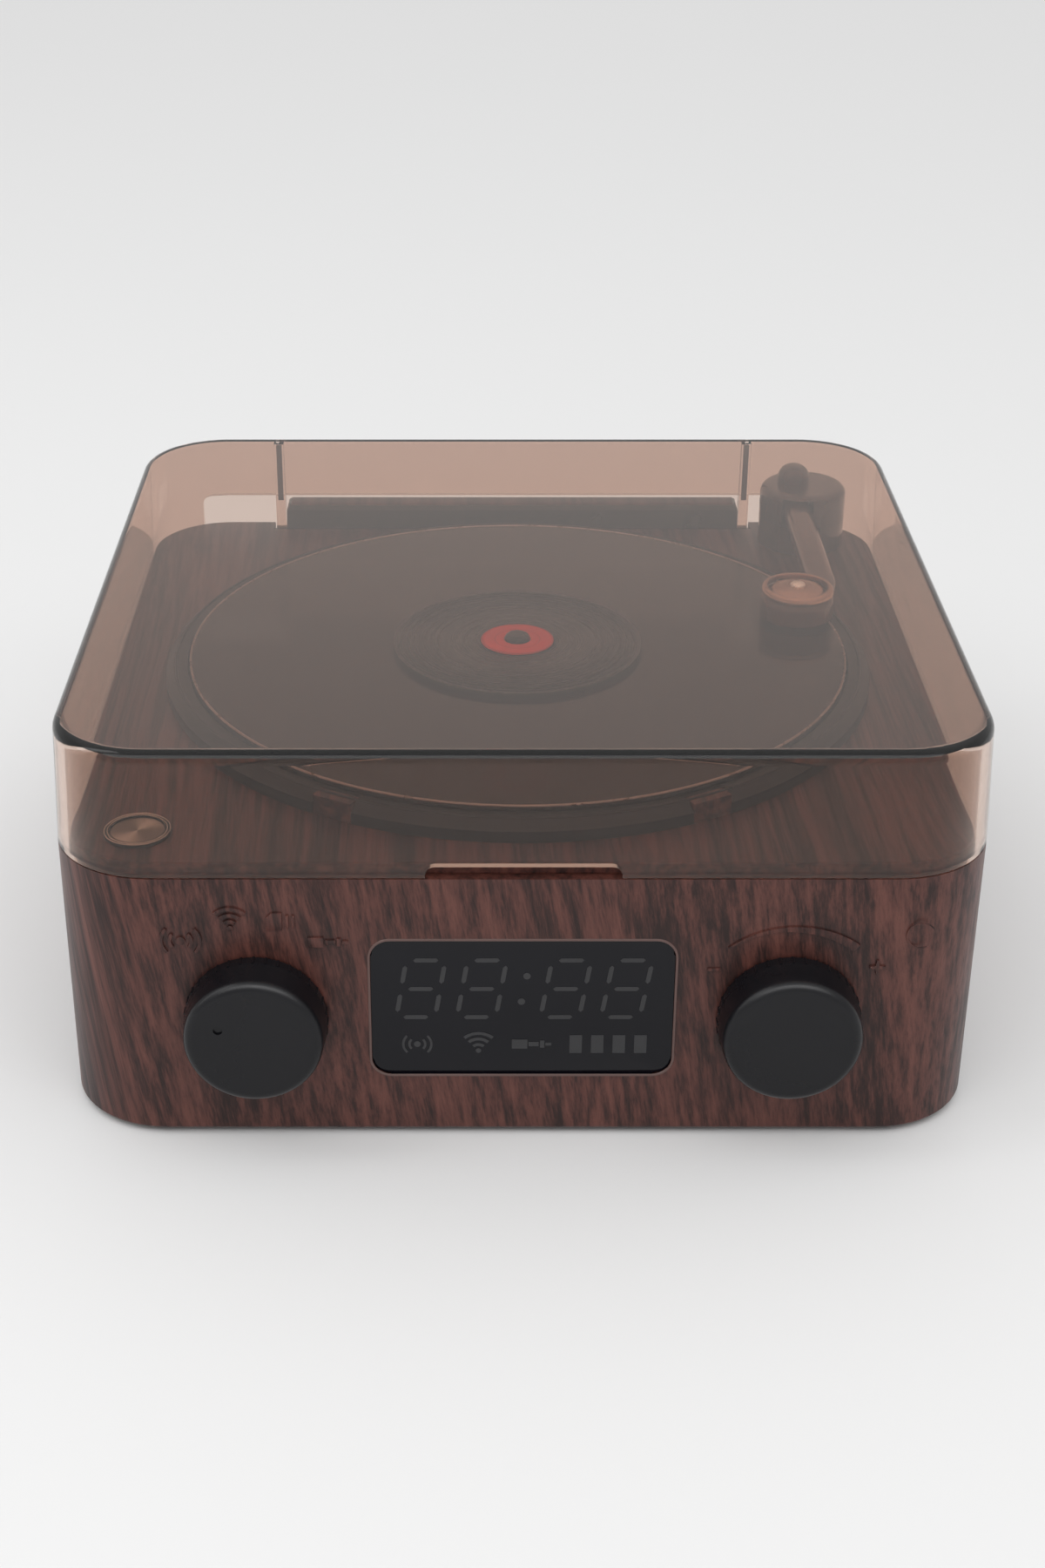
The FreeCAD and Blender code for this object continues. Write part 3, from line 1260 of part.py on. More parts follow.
# ---------------------------------------------------------------- display
def make_display():
    """Window, frame, digit module, its board and the four screws."""
    window = Body("display_window")
    pane = window.sketch("XZ_Plane", -window_back_y)
    draw_rounded(pane, S.window_width, S.window_height, S.window_radius, 0, window_z)
    window.pad(pane, S.window_thick)

    frame = Body("display_frame")
    lap = 2 * S.frame_lap
    outer = frame.sketch("XZ_Plane", -led_back_y)
    draw_rounded(
        outer, S.window_width + lap, S.window_height + lap, S.window_radius, 0, window_z)
    draw_rounded(
        outer, S.window_width - 2, S.window_height - 2, S.window_radius - 1, 0, window_z)
    frame.pad(outer, led_back_y - inner_front_y)
    lip = frame.sketch("XZ_Plane", -inner_front_y)
    draw_rounded(lip, S.window_width, S.window_height, S.window_radius, 0, window_z)
    draw_rounded(
        lip, S.window_width - 2, S.window_height - 2, S.window_radius - 1, 0, window_z)
    frame.pad(lip, inner_front_y - window_back_y)

    half_wide, half_tall = S.led_width / 2, S.led_height / 2
    part("led_module", box(
        "LedModule", (-half_wide, led_back_y - S.led_thick, window_z - half_tall),
        (half_wide, led_back_y, window_z + half_tall)))
    board = Body("display_board")
    sheet = board.sketch("XZ_Plane", -display_back_y)
    margin = 2 * S.display_boss_radius
    draw_rectangle(
        sheet, S.window_width + 2 * S.display_boss_out + margin,
        2 * S.display_boss_z + margin, 0, window_z)
    for x, z in display_bosses:
        draw_circle(sheet, S.small_screw + 0.15, x, z)
    board.pad(sheet, S.board_thick)
    part("display_screws", group("DisplayScrews", [
        screw(f"DisplayScrew{number}", (x, display_back_y, z), "-y", S.board_thick + 4,
              S.small_screw, S.small_head)
        for number, (x, z) in enumerate(display_bosses)
    ]))


# ---------------------------------------------------------------- push button
def half_turn(number, low, pitch):
    """Half a turn of the button spring: a leaning half ring that starts where the one before it ends."""
    quarter = pitch / 4
    ring = doc.addObject("Part::Torus", f"SpringRing{number}")
    bind(ring, "Radius1", root(S.spring_radius * S.spring_radius + quarter * quarter))
    bind(ring, "Radius2", S.spring_wire)
    ring.Angle3 = 180
    ring.Placement = Placement(Vector(), Rotation(Vector(0, 1, 0), 1))
    bind(ring, "Placement.Rotation.Angle", arctangent(quarter / S.spring_radius))
    half = group(f"SpringHalf{number}", [ring])
    put(half, (button_x, button_y, low + pitch * (number / 2) + quarter))
    half.Placement.Rotation = Rotation(Vector(0, 0, 1), 180 * (number % 2))
    return half


def make_button():
    """The push button in the deck: ring, cap, spring, switch and its small board."""
    bore = S.button_radius + S.button_side_gap
    ring_low = deck_z - S.button_barrel_long
    lip_top = ring_low + 1
    lip_inner = S.button_stem + 1
    turned("button_ring", button_x, button_y, [
        (lip_inner, ring_low), (S.button_barrel, ring_low), (S.button_barrel, deck_z),
        (S.button_ring_radius, deck_z), (S.button_ring_radius, deck_z + S.button_ring_proud),
        (bore, deck_z + S.button_ring_proud), (bore, lip_top), (lip_inner, lip_top),
    ])
    cap_high = deck_z + S.button_proud
    under = cap_high - S.button_thick
    stem_low = switch_z + 1.4
    turned("button_cap", button_x, button_y, [
        (0, stem_low), (S.button_stem, stem_low), (S.button_stem, under),
        (S.button_radius, under), (S.button_radius, cap_high), (0, cap_high),
    ])
    low = lip_top + S.spring_wire + S.spring_play
    pitch = (under - S.spring_wire - S.spring_play - low) / S.spring_turns
    halves = [half_turn(number, low, pitch) for number in range(round(2 * S.spring_turns.value))]
    part("button_spring", fuse("ButtonSpring", halves))

    switch_low = switch_z - S.switch_tall
    half = S.switch_side / 2
    plunger_low = switch_z - 1.5
    part("button_switch", cut(
        "ButtonSwitch",
        box("SwitchBox", (button_x - half, button_y - half, switch_low),
            (button_x + half, button_y + half, switch_z)),
        cylinder("SwitchBore", S.plunger_radius + 0.08, S.switch_tall,
                 (button_x, button_y, plunger_low - 1.3)),
    ))
    part("switch_plunger", cylinder(
        "SwitchPlunger", S.plunger_radius, stem_low - plunger_low, (button_x, button_y, plunger_low)))
    board = Body("button_board")
    sheet = board.sketch(level=switch_low - S.board_thick)
    reach = S.button_barrel + 2.2
    draw_rectangle(sheet, 2 * (reach + 2.1), 9, button_x, button_y)
    for side in (1, -1):
        draw_circle(sheet, 1.3 + S.pilot_gap, button_x + side * reach, button_y)
    board.pad(sheet, S.board_thick)


# ---------------------------------------------------------------- inside the base
def make_speaker():
    """The speaker over the grille: basket, cone, magnet and screws."""
    rim, magnet, top = S.speaker_radius, S.magnet_radius, base_z + S.speaker_tall
    seat = base_z + 1.5
    frame = turned("speaker_frame", speaker_x, S.speaker_y, [
        (rim - 6, base_z), (rim, base_z), (rim, seat), (rim - 4.4, seat), (magnet, top),
        (magnet / 2, top), (magnet / 2, top - 1.5), (magnet - 1.2, top - 1.5), (rim - 6, base_z + 1),
    ])
    holes = frame.sketch(level=seat)
    for x, y in speaker_holes:
        draw_circle(holes, S.small_screw + 0.15, x - speaker_x, y - S.speaker_y)
    frame.pocket(holes, 1.5)
    former = magnet / 2 - 0.5
    turned("speaker_cone", speaker_x, S.speaker_y, [
        (0, base_z + 9), (former, base_z + 9), (rim - 6, base_z + 0.2), (rim - 6, base_z + 0.9),
        (former, base_z + 9.8), (former, top), (former - 0.5, top), (former - 0.5, base_z + 9.8),
        (0, base_z + 9.8),
    ])
    part("speaker_magnet", cylinder(
        "SpeakerMagnet", magnet, S.magnet_tall, (speaker_x, S.speaker_y, top)))
    part("speaker_screws", group("SpeakerScrews", [
        screw(f"SpeakerScrew{number}", (x, y, seat), "-z", S.base_thick + 1, S.small_screw, S.small_head)
        for number, (x, y) in enumerate(speaker_holes)
    ]))


def make_electronics():
    """Main board with its sockets, the socket plate in the rear wall, and the battery."""
    middle_y = board_back_y - S.pcb_deep / 2
    board = Body("main_board")
    sheet = board.sketch(level=board_z)
    draw_rectangle(sheet, S.pcb_width, S.pcb_deep, S.pcb_x, middle_y)
    for x, y in board_holes:
        draw_circle(sheet, S.small_screw + 0.15, x, y)
    board.pad(sheet, S.board_thick)
    part("board_screws", group("BoardScrews", [
        screw(f"BoardScrew{number}", (x, y, board_top), "-z", S.board_thick + 4,
              S.small_screw, S.small_head)
        for number, (x, y) in enumerate(board_holes)
    ]))

    mouth_y = back_y - 0.6
    usb_x, card_x = port_x + S.usb_x, port_x + S.card_x
    half = S.usb_width / 2
    usb_top = board_top + S.usb_height
    part("charge_socket", fuse("ChargeSocket", [
        cut("SocketShell",
            box("SocketBox", (usb_x - half, mouth_y - S.usb_deep, board_top),
                (usb_x + half, mouth_y, usb_top)),
            box("SocketMouth", (usb_x - half + 0.4, mouth_y - S.usb_deep + 1, board_top + 0.4),
                (usb_x + half - 0.4, mouth_y + 1, usb_top - 0.4))),
        box("SocketTongue", (usb_x - half * 0.7, mouth_y - S.usb_deep + 0.5, board_top + 1.25),
            (usb_x + half * 0.7, mouth_y - 1, usb_top - 1.25)),
    ]))
    half = S.jack_nose + 0.2
    part("audio_jack", cut(
        "AudioJack",
        fuse("JackBlank", [
            box("JackBox", (port_x - half, board_back_y - S.jack_deep, board_top),
                (port_x + half, board_back_y, port_z + S.jack_nose)),
            cylinder("JackNose", S.jack_nose, mouth_y - board_back_y, (port_x, board_back_y, port_z), "y"),
        ]),
        cylinder("JackBore", S.jack_bore, S.jack_deep, (port_x, mouth_y - S.jack_deep, port_z), "y"),
    ))
    half = S.card_width / 2
    card_top = board_top + S.card_height
    part("card_slot", cut(
        "CardSlot",
        box("CardBox", (card_x - half, mouth_y - S.card_deep, board_top), (card_x + half, mouth_y, card_top)),
        box("CardMouth", (card_x - half + 1, mouth_y - S.card_deep + 1, board_top + 0.4),
            (card_x + half - 1, mouth_y + 1, card_top - 0.4)),
    ))

    plate = Body("port_plate")
    face = plate.sketch("XZ_Plane", -back_y)
    draw_rectangle(face, S.port_width, S.port_height, port_x, port_z)
    plate.pad(face, S.wall, down=False)
    lip = plate.sketch("XZ_Plane", -inner_back_y)
    draw_rectangle(
        lip, S.port_width + 2 * S.port_lip, S.port_height + 2 * S.port_lip, port_x, port_z)
    plate.pad(lip, 1.2)
    holes = plate.sketch("XZ_Plane", -back_y)
    gap = 2 * S.fit_gap
    draw_rectangle(holes, S.usb_width + gap, S.usb_height + gap, usb_x, board_top + S.usb_height / 2)
    draw_circle(holes, S.jack_nose + S.fit_gap, port_x, port_z)
    draw_rectangle(holes, S.card_width + gap, S.card_height + gap, card_x, board_top + S.card_height / 2)
    plate.pocket(holes, 4 * S.wall, both=True)

    start_x = S.cell_x - S.cell_long / 2
    part("battery_cell", fuse("BatteryCell", [
        cylinder("CellCan", S.cell_radius, S.cell_long - 0.8, (start_x, cell_y, cell_z), "x"),
        cylinder("CellTip", S.cell_radius / 3, S.cell_long, (start_x, cell_y, cell_z), "x"),
    ]))
    side = S.cell_radius + S.cradle_wall
    end = S.cell_long / 2 + 0.5 + S.cradle_wall
    part("battery_cradle", cut(
        "BatteryCradle",
        box("CradleBox", (S.cell_x - end, cell_y - side, base_z), (S.cell_x + end, cell_y + side, cell_z)),
        cylinder("CradleBore", S.cell_radius, S.cell_long + 1, (start_x - 0.5, cell_y, cell_z), "x"),
    ))


make_cabinet()
make_base()
make_deck()
make_lid()
make_hinge()
make_platter()
make_drive()
make_tonearm()
make_controls()
make_display()
make_button()
make_speaker()
make_electronics()
doc.recompute()

# ---------------------------------------------------------------- checks and export
for thing in doc.Objects:
    if {"Invalid", "Error"} & set(thing.State):
        raise RuntimeError(f"{thing.Name} did not recompute: {thing.State}")
for node, obj in PARTS.items():
    shape = obj.Shape
    if shape.isNull() or not shape.isValid() or not shape.Solids or shape.Volume <= 0:
        raise RuntimeError(f"{node} has no valid solid")
os.makedirs("parts", exist_ok=True)
for node, obj in PARTS.items():
    obj.Shape.exportStep(f"parts/{node}.step")
print(len(PARTS), "sub-parts written")
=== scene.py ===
"""Looks of a small record-player speaker: finishes, detail pieces, light and camera.

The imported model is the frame. Pieces made here sit where its nodes say, in metres, +Z up and the front
towards -Y. Each sub-assembly is a class, each finish is a frozen dataclass.
"""

import logging
import math
from collections.abc import Callable, Iterable, Sequence
from dataclasses import dataclass
from enum import Enum
from typing import Any

import bmesh
import bpy
from mathutils import Matrix, Vector


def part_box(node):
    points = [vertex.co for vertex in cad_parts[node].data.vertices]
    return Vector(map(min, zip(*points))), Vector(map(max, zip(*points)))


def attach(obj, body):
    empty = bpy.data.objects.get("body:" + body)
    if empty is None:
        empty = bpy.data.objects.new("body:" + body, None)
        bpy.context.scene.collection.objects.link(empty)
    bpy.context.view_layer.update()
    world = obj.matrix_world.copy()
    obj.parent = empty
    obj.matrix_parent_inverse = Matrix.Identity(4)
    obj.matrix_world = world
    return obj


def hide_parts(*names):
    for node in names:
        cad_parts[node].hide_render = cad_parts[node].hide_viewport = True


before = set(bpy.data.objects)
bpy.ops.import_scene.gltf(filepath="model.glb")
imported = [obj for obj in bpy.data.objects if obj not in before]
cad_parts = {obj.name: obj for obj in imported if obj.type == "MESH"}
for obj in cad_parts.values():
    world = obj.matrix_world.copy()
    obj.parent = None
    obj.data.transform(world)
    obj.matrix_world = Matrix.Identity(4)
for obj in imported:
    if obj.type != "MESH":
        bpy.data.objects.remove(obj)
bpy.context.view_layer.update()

MM = 0.001
SMOOTH_ANGLE = math.radians(38)
SINK = 0.05  # how far a laid-on piece reaches into what carries it, in millimetres
EDGE_BEVEL = 0.10  # bevel along a raised edge, in millimetres
log = logging.getLogger("record_player")

Point = tuple[float, float]
Colour = tuple[float, float, float]


def shade(colour: Colour, by: float) -> Colour:
    """The colour made lighter or darker by a factor."""
    return tuple(channel * by for channel in colour)


class Facing(Enum):
    """Which way the local +Z of a piece points."""

    UP = "up"
    DOWN = "down"
    FRONT = "front"
    BACK = "back"

    @property
    def turn(self) -> Matrix:
        """The rotation from local axes to the row's axes."""
        rows = {
            Facing.UP: ((1, 0, 0), (0, 1, 0), (0, 0, 1)),
            Facing.DOWN: ((1, 0, 0), (0, -1, 0), (0, 0, -1)),
            Facing.FRONT: ((1, 0, 0), (0, 0, -1), (0, 1, 0)),
            Facing.BACK: ((-1, 0, 0), (0, 0, 1), (0, 1, 0)),
        }
        return Matrix(rows[self]).to_4x4()


class Grain(Enum):
    """Direction of the wood grain."""

    UPRIGHT = "upright"
    FORE_AND_AFT = "fore and aft"


# ---------------------------------------------------------------- shader writing
class Shader:
    """A node material, written one node at a time."""

    def __init__(self, name: str) -> None:
        """Start an empty material that has one Principled shader.

        Args:
            name: Name of the material.
        """
        self.material = bpy.data.materials.new(name)
        self.material.use_nodes = True
        self.tree = self.material.node_tree
        self.bsdf = self.tree.nodes["Principled BSDF"]

    def node(self, kind: str, inputs: dict[Any, Any] | None = None, **settings: Any) -> bpy.types.Node:
        """Add a node.

        Args:
            kind: Node type without its ShaderNode prefix.
            inputs: Socket name or number to a value, or to a socket that feeds it.
            **settings: Properties of the node.

        Returns:
            The new node.
        """
        made = self.tree.nodes.new(f"ShaderNode{kind}")
        for key, value in settings.items():
            setattr(made, key, value)
        for key, value in (inputs or {}).items():
            self.feed(made.inputs[key], value)
        return made

    def feed(self, socket: bpy.types.NodeSocket, value: Any) -> None:
        """Give a socket a value, or a link from another socket."""
        if isinstance(value, bpy.types.NodeSocket):
            self.tree.links.new(value, socket)
        elif isinstance(value, tuple) and len(value) == 3 and socket.type == "RGBA":
            socket.default_value = (*value, 1.0)
        else:
            socket.default_value = value

    def surface(self, **values: Any) -> None:
        """Set sockets of the shader; an underscore in a name stands for a space."""
        for name, value in values.items():
            self.feed(self.bsdf.inputs[name.replace("_", " ")], value)

    def place(self, offset: Sequence[float] = (0, 0, 0), scale: Sequence[float] = (1, 1, 1),
              rotation: Sequence[float] = (0, 0, 0)) -> bpy.types.NodeSocket:
        """Object coordinates, moved, turned and scaled.

        Args:
            offset: Added to the coordinates first.
            scale: Stretch along each axis.
            rotation: Turn in radians, about X, Y and Z.

        Returns:
            The vector socket.
        """
        coords = self.node("TexCoord").outputs["Object"]
        moved = self.node("VectorMath", {0: coords, 1: tuple(offset)}, operation="ADD")
        mapping = self.node("Mapping", {"Vector": moved.outputs[0]}, vector_type="TEXTURE")
        mapping.inputs["Rotation"].default_value = rotation
        mapping.inputs["Scale"].default_value = [1 / s for s in scale]
        return mapping.outputs[0]

    def noise(self, vector: Any, scale: float, detail: float = 3.0, roughness: float = 0.55,
              distortion: float = 0.0) -> bpy.types.NodeSocket:
        """A noise value between 0 and 1."""
        return self.node("TexNoise", {
            "Vector": vector, "Scale": scale, "Detail": detail, "Roughness": roughness,
            "Distortion": distortion,
        }).outputs[0]

    def ramp(self, value: Any, stops: Sequence[tuple[float, Colour]]) -> bpy.types.NodeSocket:
        """Colours along a value.

        Args:
            value: Socket that picks the colour.
            stops: Positions and their colours, in order.

        Returns:
            The colour socket.
        """
        made = self.node("ValToRGB", {"Fac": value})
        elements = made.color_ramp.elements
        while len(elements) < len(stops):
            elements.new(0.5)
        for element, (position, colour) in zip(elements, stops):
            element.position = position
            element.color = (*colour, 1.0)
        return made.outputs[0]

    def spread(self, value: Any, low: float, high: float, to_low: float,
               to_high: float) -> bpy.types.NodeSocket:
        """Map a value from one span to another, clamped."""
        return self.node("MapRange", {
            "Value": value, "From Min": low, "From Max": high, "To Min": to_low, "To Max": to_high,
        }).outputs[0]

    def math(self, operation: str, first: Any, second: Any = 0.0) -> bpy.types.NodeSocket:
        """Arithmetic on values."""
        return self.node("Math", {0: first, 1: second}, operation=operation).outputs[0]

    def mix(self, amount: Any, first: Any, second: Any, blend: str = "MIX") -> bpy.types.NodeSocket:
        """Mix two colours."""
        made = self.node("Mix", data_type="RGBA", blend_type=blend)
        self.feed(made.inputs[0], amount)
        self.feed(made.inputs[6], first)
        self.feed(made.inputs[7], second)
        return made.outputs[2]

    def bump(self, height: Any, distance: float, strength: float = 1.0,
             under: Any = None) -> bpy.types.NodeSocket:
        """Relief from a height value, in metres, over another relief where one is given."""
        inputs = {"Height": height, "Distance": distance, "Strength": strength}
        if under is not None:
            inputs["Normal"] = under
        return self.node("Bump", inputs).outputs[0]

    def radius_from(self, centre: Vector, facing: Facing) -> bpy.types.NodeSocket:
        """Distance from an axis through a centre, in metres."""
        flat = {
            Facing.UP: (1, 1, 0), Facing.DOWN: (1, 1, 0), Facing.FRONT: (1, 0, 1), Facing.BACK: (1, 0, 1)}
        coords = self.node("TexCoord").outputs["Object"]
        away = self.node("VectorMath", {0: coords, 1: tuple(-centre)}, operation="ADD").outputs[0]
        squashed = self.node("VectorMath", {0: away, 1: flat[facing]}, operation="MULTIPLY").outputs[0]
        return self.node("VectorMath", {0: squashed}, operation="LENGTH").outputs["Value"]


# ---------------------------------------------------------------- finishes
@dataclass(frozen=True)
class Finish:
    """A named finish; each kind writes its own nodes."""

    name: str

    def make(self) -> bpy.types.Material:
        """The finish as a new material."""
        shader = Shader(self.name)
        self.write(shader)
        return shader.material

    def write(self, shader: Shader) -> None:
        """Set the shader's nodes."""
        raise NotImplementedError


@dataclass(frozen=True)
class WalnutWrap(Finish):
    """Printed dark-walnut foil with an embossed pore."""

    grain: Grain = Grain.UPRIGHT
    lean: float = math.radians(-8)
    stretch: float = 0.035
    sway: float = 0.0016
    streak_share: float = 0.55
    broad_share: float = 0.25
    fine_share: float = 0.20

    def write(self, shader: Shader) -> None:
        """Set the shader's nodes."""
        upright = self.grain is Grain.UPRIGHT
        scale = (1, 1, self.stretch) if upright else (1, self.stretch, 1)
        rotation = (self.lean, self.lean, 0) if upright else (0, 0, 0.03)
        lines = shader.place(scale=scale, rotation=rotation)
        slow = shader.place(scale=(1, 1, 0.3) if upright else (1, 0.3, 1), rotation=rotation)
        sway = shader.noise(slow, 26, 2, 0.45)
        aside = shader.spread(sway, 0.25, 0.75, -self.sway, self.sway)
        shift = shader.node("CombineXYZ", {"X": aside, "Y": aside}).outputs[0]
        swayed = shader.node("VectorMath", {0: lines, 1: shift}, operation="ADD").outputs[0]
        broad = shader.noise(swayed, 95, 2, 0.5)
        streaks = shader.noise(swayed, 520, 5, 0.68)
        fine = shader.noise(swayed, 1900, 3, 0.65)
        figure = shader.math("MULTIPLY", streaks, self.streak_share)
        figure = shader.math("ADD", figure, shader.math("MULTIPLY", broad, self.broad_share))
        figure = shader.math("ADD", figure, shader.math("MULTIPLY", fine, self.fine_share))
        tone = shader.ramp(figure, [
            (0.40, (0.020, 0.0080, 0.0070)), (0.46, (0.044, 0.0165, 0.0135)),
            (0.52, (0.088, 0.0310, 0.0245)), (0.60, (0.128, 0.0470, 0.0360)),
        ])
        pores = shader.spread(fine, 0.55, 0.70, 0.0, 1.0)
        toned = shader.mix(shader.math("MULTIPLY", pores, 0.35), tone, (0.022, 0.009, 0.008))
        relief = shader.bump(fine, 0.00005, 0.6)
        relief = shader.bump(streaks, 0.00008, 0.4, relief)
        shader.surface(
            Base_Color=toned, Roughness=shader.spread(streaks, 0.35, 0.7, 0.42, 0.32), Normal=relief,
            Specular_IOR_Level=0.34)


@dataclass(frozen=True)
class SmokedClear(Finish):
    """Clear moulded plastic with a smoke-brown tint that clouds a little."""

    tint: Colour = (0.745, 0.575, 0.49)
    cloudy: float = 0.975
    index: float = 1.43

    def write(self, shader: Shader) -> None:
        """Set the shader's nodes."""
        haze = shader.noise(shader.place(scale=(1, 0.4, 1)), 60, 4, 0.6)
        shader.surface(
            Base_Color=shader.mix(haze, shade(self.tint, self.cloudy), self.tint), Roughness=0.0,
            IOR=self.index, Transmission_Weight=1.0)


@dataclass(frozen=True)
class Plastic(Finish):
    """Moulded plastic with a fine spark-eroded or polished skin."""

    colour: Colour = (0.02, 0.02, 0.02)
    roughness: float = 0.4
    texture: float = 0.00002
    coat: float = 0.0
    specular: float = 0.5

    def write(self, shader: Shader) -> None:
        """Set the shader's nodes."""
        skin = shader.noise(shader.place(), 2600, 3, 0.6)
        cloud = shader.noise(shader.place(), 45, 3, 0.6)
        shader.surface(
            Base_Color=shader.mix(cloud, shade(self.colour, 0.8), shade(self.colour, 1.2)),
            Roughness=shader.spread(cloud, 0.3, 0.7, self.roughness * 0.8, self.roughness * 1.3),
            Specular_IOR_Level=self.specular, Coat_Weight=self.coat, Coat_Roughness=0.04)
        if self.texture:
            shader.surface(Normal=shader.bump(skin, self.texture, 0.6))


@dataclass(frozen=True)
class Metal(Finish):
    """Turned, brushed or polished metal."""

    colour: Colour = (0.6, 0.6, 0.6)
    roughness: float = 0.3
    brushing: float = 0.00001
    worn: float = 0.15

    def write(self, shader: Shader) -> None:
        """Set the shader's nodes."""
        marks = shader.noise(shader.place(scale=(0.08, 1, 1)), 3200, 2, 0.6)
        stain = shader.noise(shader.place(), 140, 4, 0.6)
        dull = shade(self.colour, 1 - self.worn)
        shader.surface(
            Base_Color=shader.mix(shader.spread(stain, 0.4, 0.65, 0, 1), dull, self.colour), Metallic=1.0,
            Roughness=shader.spread(stain, 0.3, 0.7, self.roughness * 0.8, self.roughness * 1.3),
            Normal=shader.bump(marks, self.brushing, 0.5))


@dataclass(frozen=True)
class SpunMetal(Finish):
    """Metal brushed in circles round an axis, with a painted highlight: its colour is lighter in a fan of two
    opposite wedges and darker between them.
    """

    centre: tuple[float, float, float] = (0, 0, 0)
    colour: Colour = (0.66, 0.57, 0.50)
    pitch: float = 0.00022
    fan_turn: float = math.radians(-62)
    fan_power: float = 5.0
    # share of the colour left in the painted shade between the fan's bright wedges
    painted_fan_shade: float = 0.35
    facing: Facing = Facing.UP

    def write(self, shader: Shader) -> None:
        """Set the shader's nodes."""
        radius = shader.radius_from(Vector(self.centre), self.facing)
        rings = shader.math("SINE", shader.math("MULTIPLY", radius, math.tau / self.pitch))
        wander = shader.noise(shader.node("CombineXYZ", {"X": radius}).outputs[0], 9000, 2, 0.7)
        # Painted highlight: the base colour is brightened in two opposite wedges round the axis, a fan of
        # light painted into the metal.
        around_it = shader.place([-c for c in self.centre])
        axes = shader.node("SeparateXYZ", {0: around_it}).outputs
        angle = shader.math("ARCTAN2", axes[1], axes[0])
        fan = shader.math("ABSOLUTE", shader.math("COSINE", shader.math("ADD", angle, self.fan_turn)))
        fan_highlight_paint = shader.math("POWER", fan, self.fan_power)
        tone = shader.mix(fan_highlight_paint, shade(self.colour, self.painted_fan_shade), self.colour)
        tangent = shader.node("Tangent", direction_type="RADIAL", axis="Z")
        shader.surface(
            Base_Color=shader.mix(shader.math("MULTIPLY", wander, 0.35), tone, (0.05, 0.04, 0.035)),
            Metallic=1.0, Roughness=0.3, Anisotropic=0.8, Tangent=tangent.outputs[0],
            Normal=shader.bump(rings, 0.000006, 0.4))


@dataclass(frozen=True)
class Vinyl(Finish):
    """Pressed record plastic: fine grooves between a plain lead-in and run-out."""

    centre: tuple[float, float, float] = (0, 0, 0)
    groove: float = 0.00016

    def write(self, shader: Shader) -> None:
        """Set the shader's nodes."""
        radius = shader.radius_from(Vector(self.centre), Facing.UP)
        waves = shader.math("SINE", shader.math("MULTIPLY", radius, math.tau / self.groove))
        bands = shader.noise(shader.node("CombineXYZ", {"X": radius}).outputs[0], 900, 2, 0.6)
        shader.surface(
            Base_Color=shader.ramp(bands, [(0.35, (0.004, 0.004, 0.005)), (0.65, (0.014, 0.013, 0.014))]),
            Roughness=shader.spread(bands, 0.35, 0.65, 0.18, 0.34), Specular_IOR_Level=0.6,
            Normal=shader.bump(waves, 0.00003, 0.7))


@dataclass(frozen=True)
class PrintedLabel(Finish):
    """Uncoated paper printed with plain rings."""

    centre: tuple[float, float, float] = (0, 0, 0)
    outer: float = 8.8 * MM

    def write(self, shader: Shader) -> None:
        """Set the shader's nodes."""
        radius = shader.radius_from(Vector(self.centre), Facing.UP)
        red, deep, ink = (0.72, 0.040, 0.024), (0.50, 0.026, 0.018), (0.03, 0.012, 0.01)
        share = shader.math("DIVIDE", radius, self.outer)
        rings = shader.ramp(share, [
            (0.36, ink), (0.38, red), (0.60, red), (0.61, deep), (0.63, deep), (0.64, red),
            (0.93, red), (0.95, deep),
        ])
        fibre = shader.noise(shader.place(), 2400, 5, 0.7)
        shader.surface(
            Base_Color=shader.mix(shader.spread(fibre, 0.3, 0.7, 0.0, 0.25), rings, (0.62, 0.10, 0.07)),
            Roughness=0.62, Specular_IOR_Level=0.3, Normal=shader.bump(fibre, 0.00003, 0.5))


@dataclass(frozen=True)
class CircuitBoard(Finish):
    """Solder mask over copper tracks."""

    pitch: float = 1.9 * MM

    def write(self, shader: Shader) -> None:
        """Set the shader's nodes."""
        cells = shader.node("TexVoronoi", {
            "Vector": shader.place(), "Scale": 1 / self.pitch}, distance="MANHATTAN", feature="F1")
        tracks = shader.spread(cells.outputs["Distance"], 0.40, 0.46, 0.0, 1.0)
        weave = shader.noise(shader.place(), 1800, 2, 0.6)
        mask = shader.mix(weave, (0.008, 0.075, 0.030), (0.014, 0.105, 0.045))
        shader.surface(
            Base_Color=shader.mix(tracks, mask, (0.03, 0.19, 0.07)), Roughness=0.32, Coat_Weight=0.3,
            Coat_Roughness=0.1, Normal=shader.bump(tracks, 0.00003, 0.6))


@dataclass(frozen=True)
class SoftRubber(Finish):
    """Moulded rubber with a bloom of dust."""

    colour: Colour = (0.018, 0.018, 0.018)

    def write(self, shader: Shader) -> None:
        """Set the shader's nodes."""
        dust = shader.noise(shader.place(), 420, 5, 0.7)
        shader.surface(
            Base_Color=shader.mix(shader.spread(dust, 0.45, 0.8, 0, 0.5), self.colour, (0.09, 0.085, 0.08)),
            Roughness=0.82, Sheen_Weight=0.15, Sheen_Roughness=0.5,
            Normal=shader.bump(shader.noise(shader.place(), 3000, 3, 0.6), 0.00004, 0.6))


@dataclass(frozen=True)
class PressedPaper(Finish):
    """Felted paper of a speaker cone."""

    colour: Colour = (0.035, 0.033, 0.032)

    def write(self, shader: Shader) -> None:
        """Set the shader's nodes."""
        felt = shader.noise(shader.place(), 1300, 6, 0.75)
        shader.surface(
            Base_Color=shader.mix(felt, shade(self.colour, 0.6), shade(self.colour, 1.5)),
            Roughness=0.86, Normal=shader.bump(felt, 0.00012, 0.7))


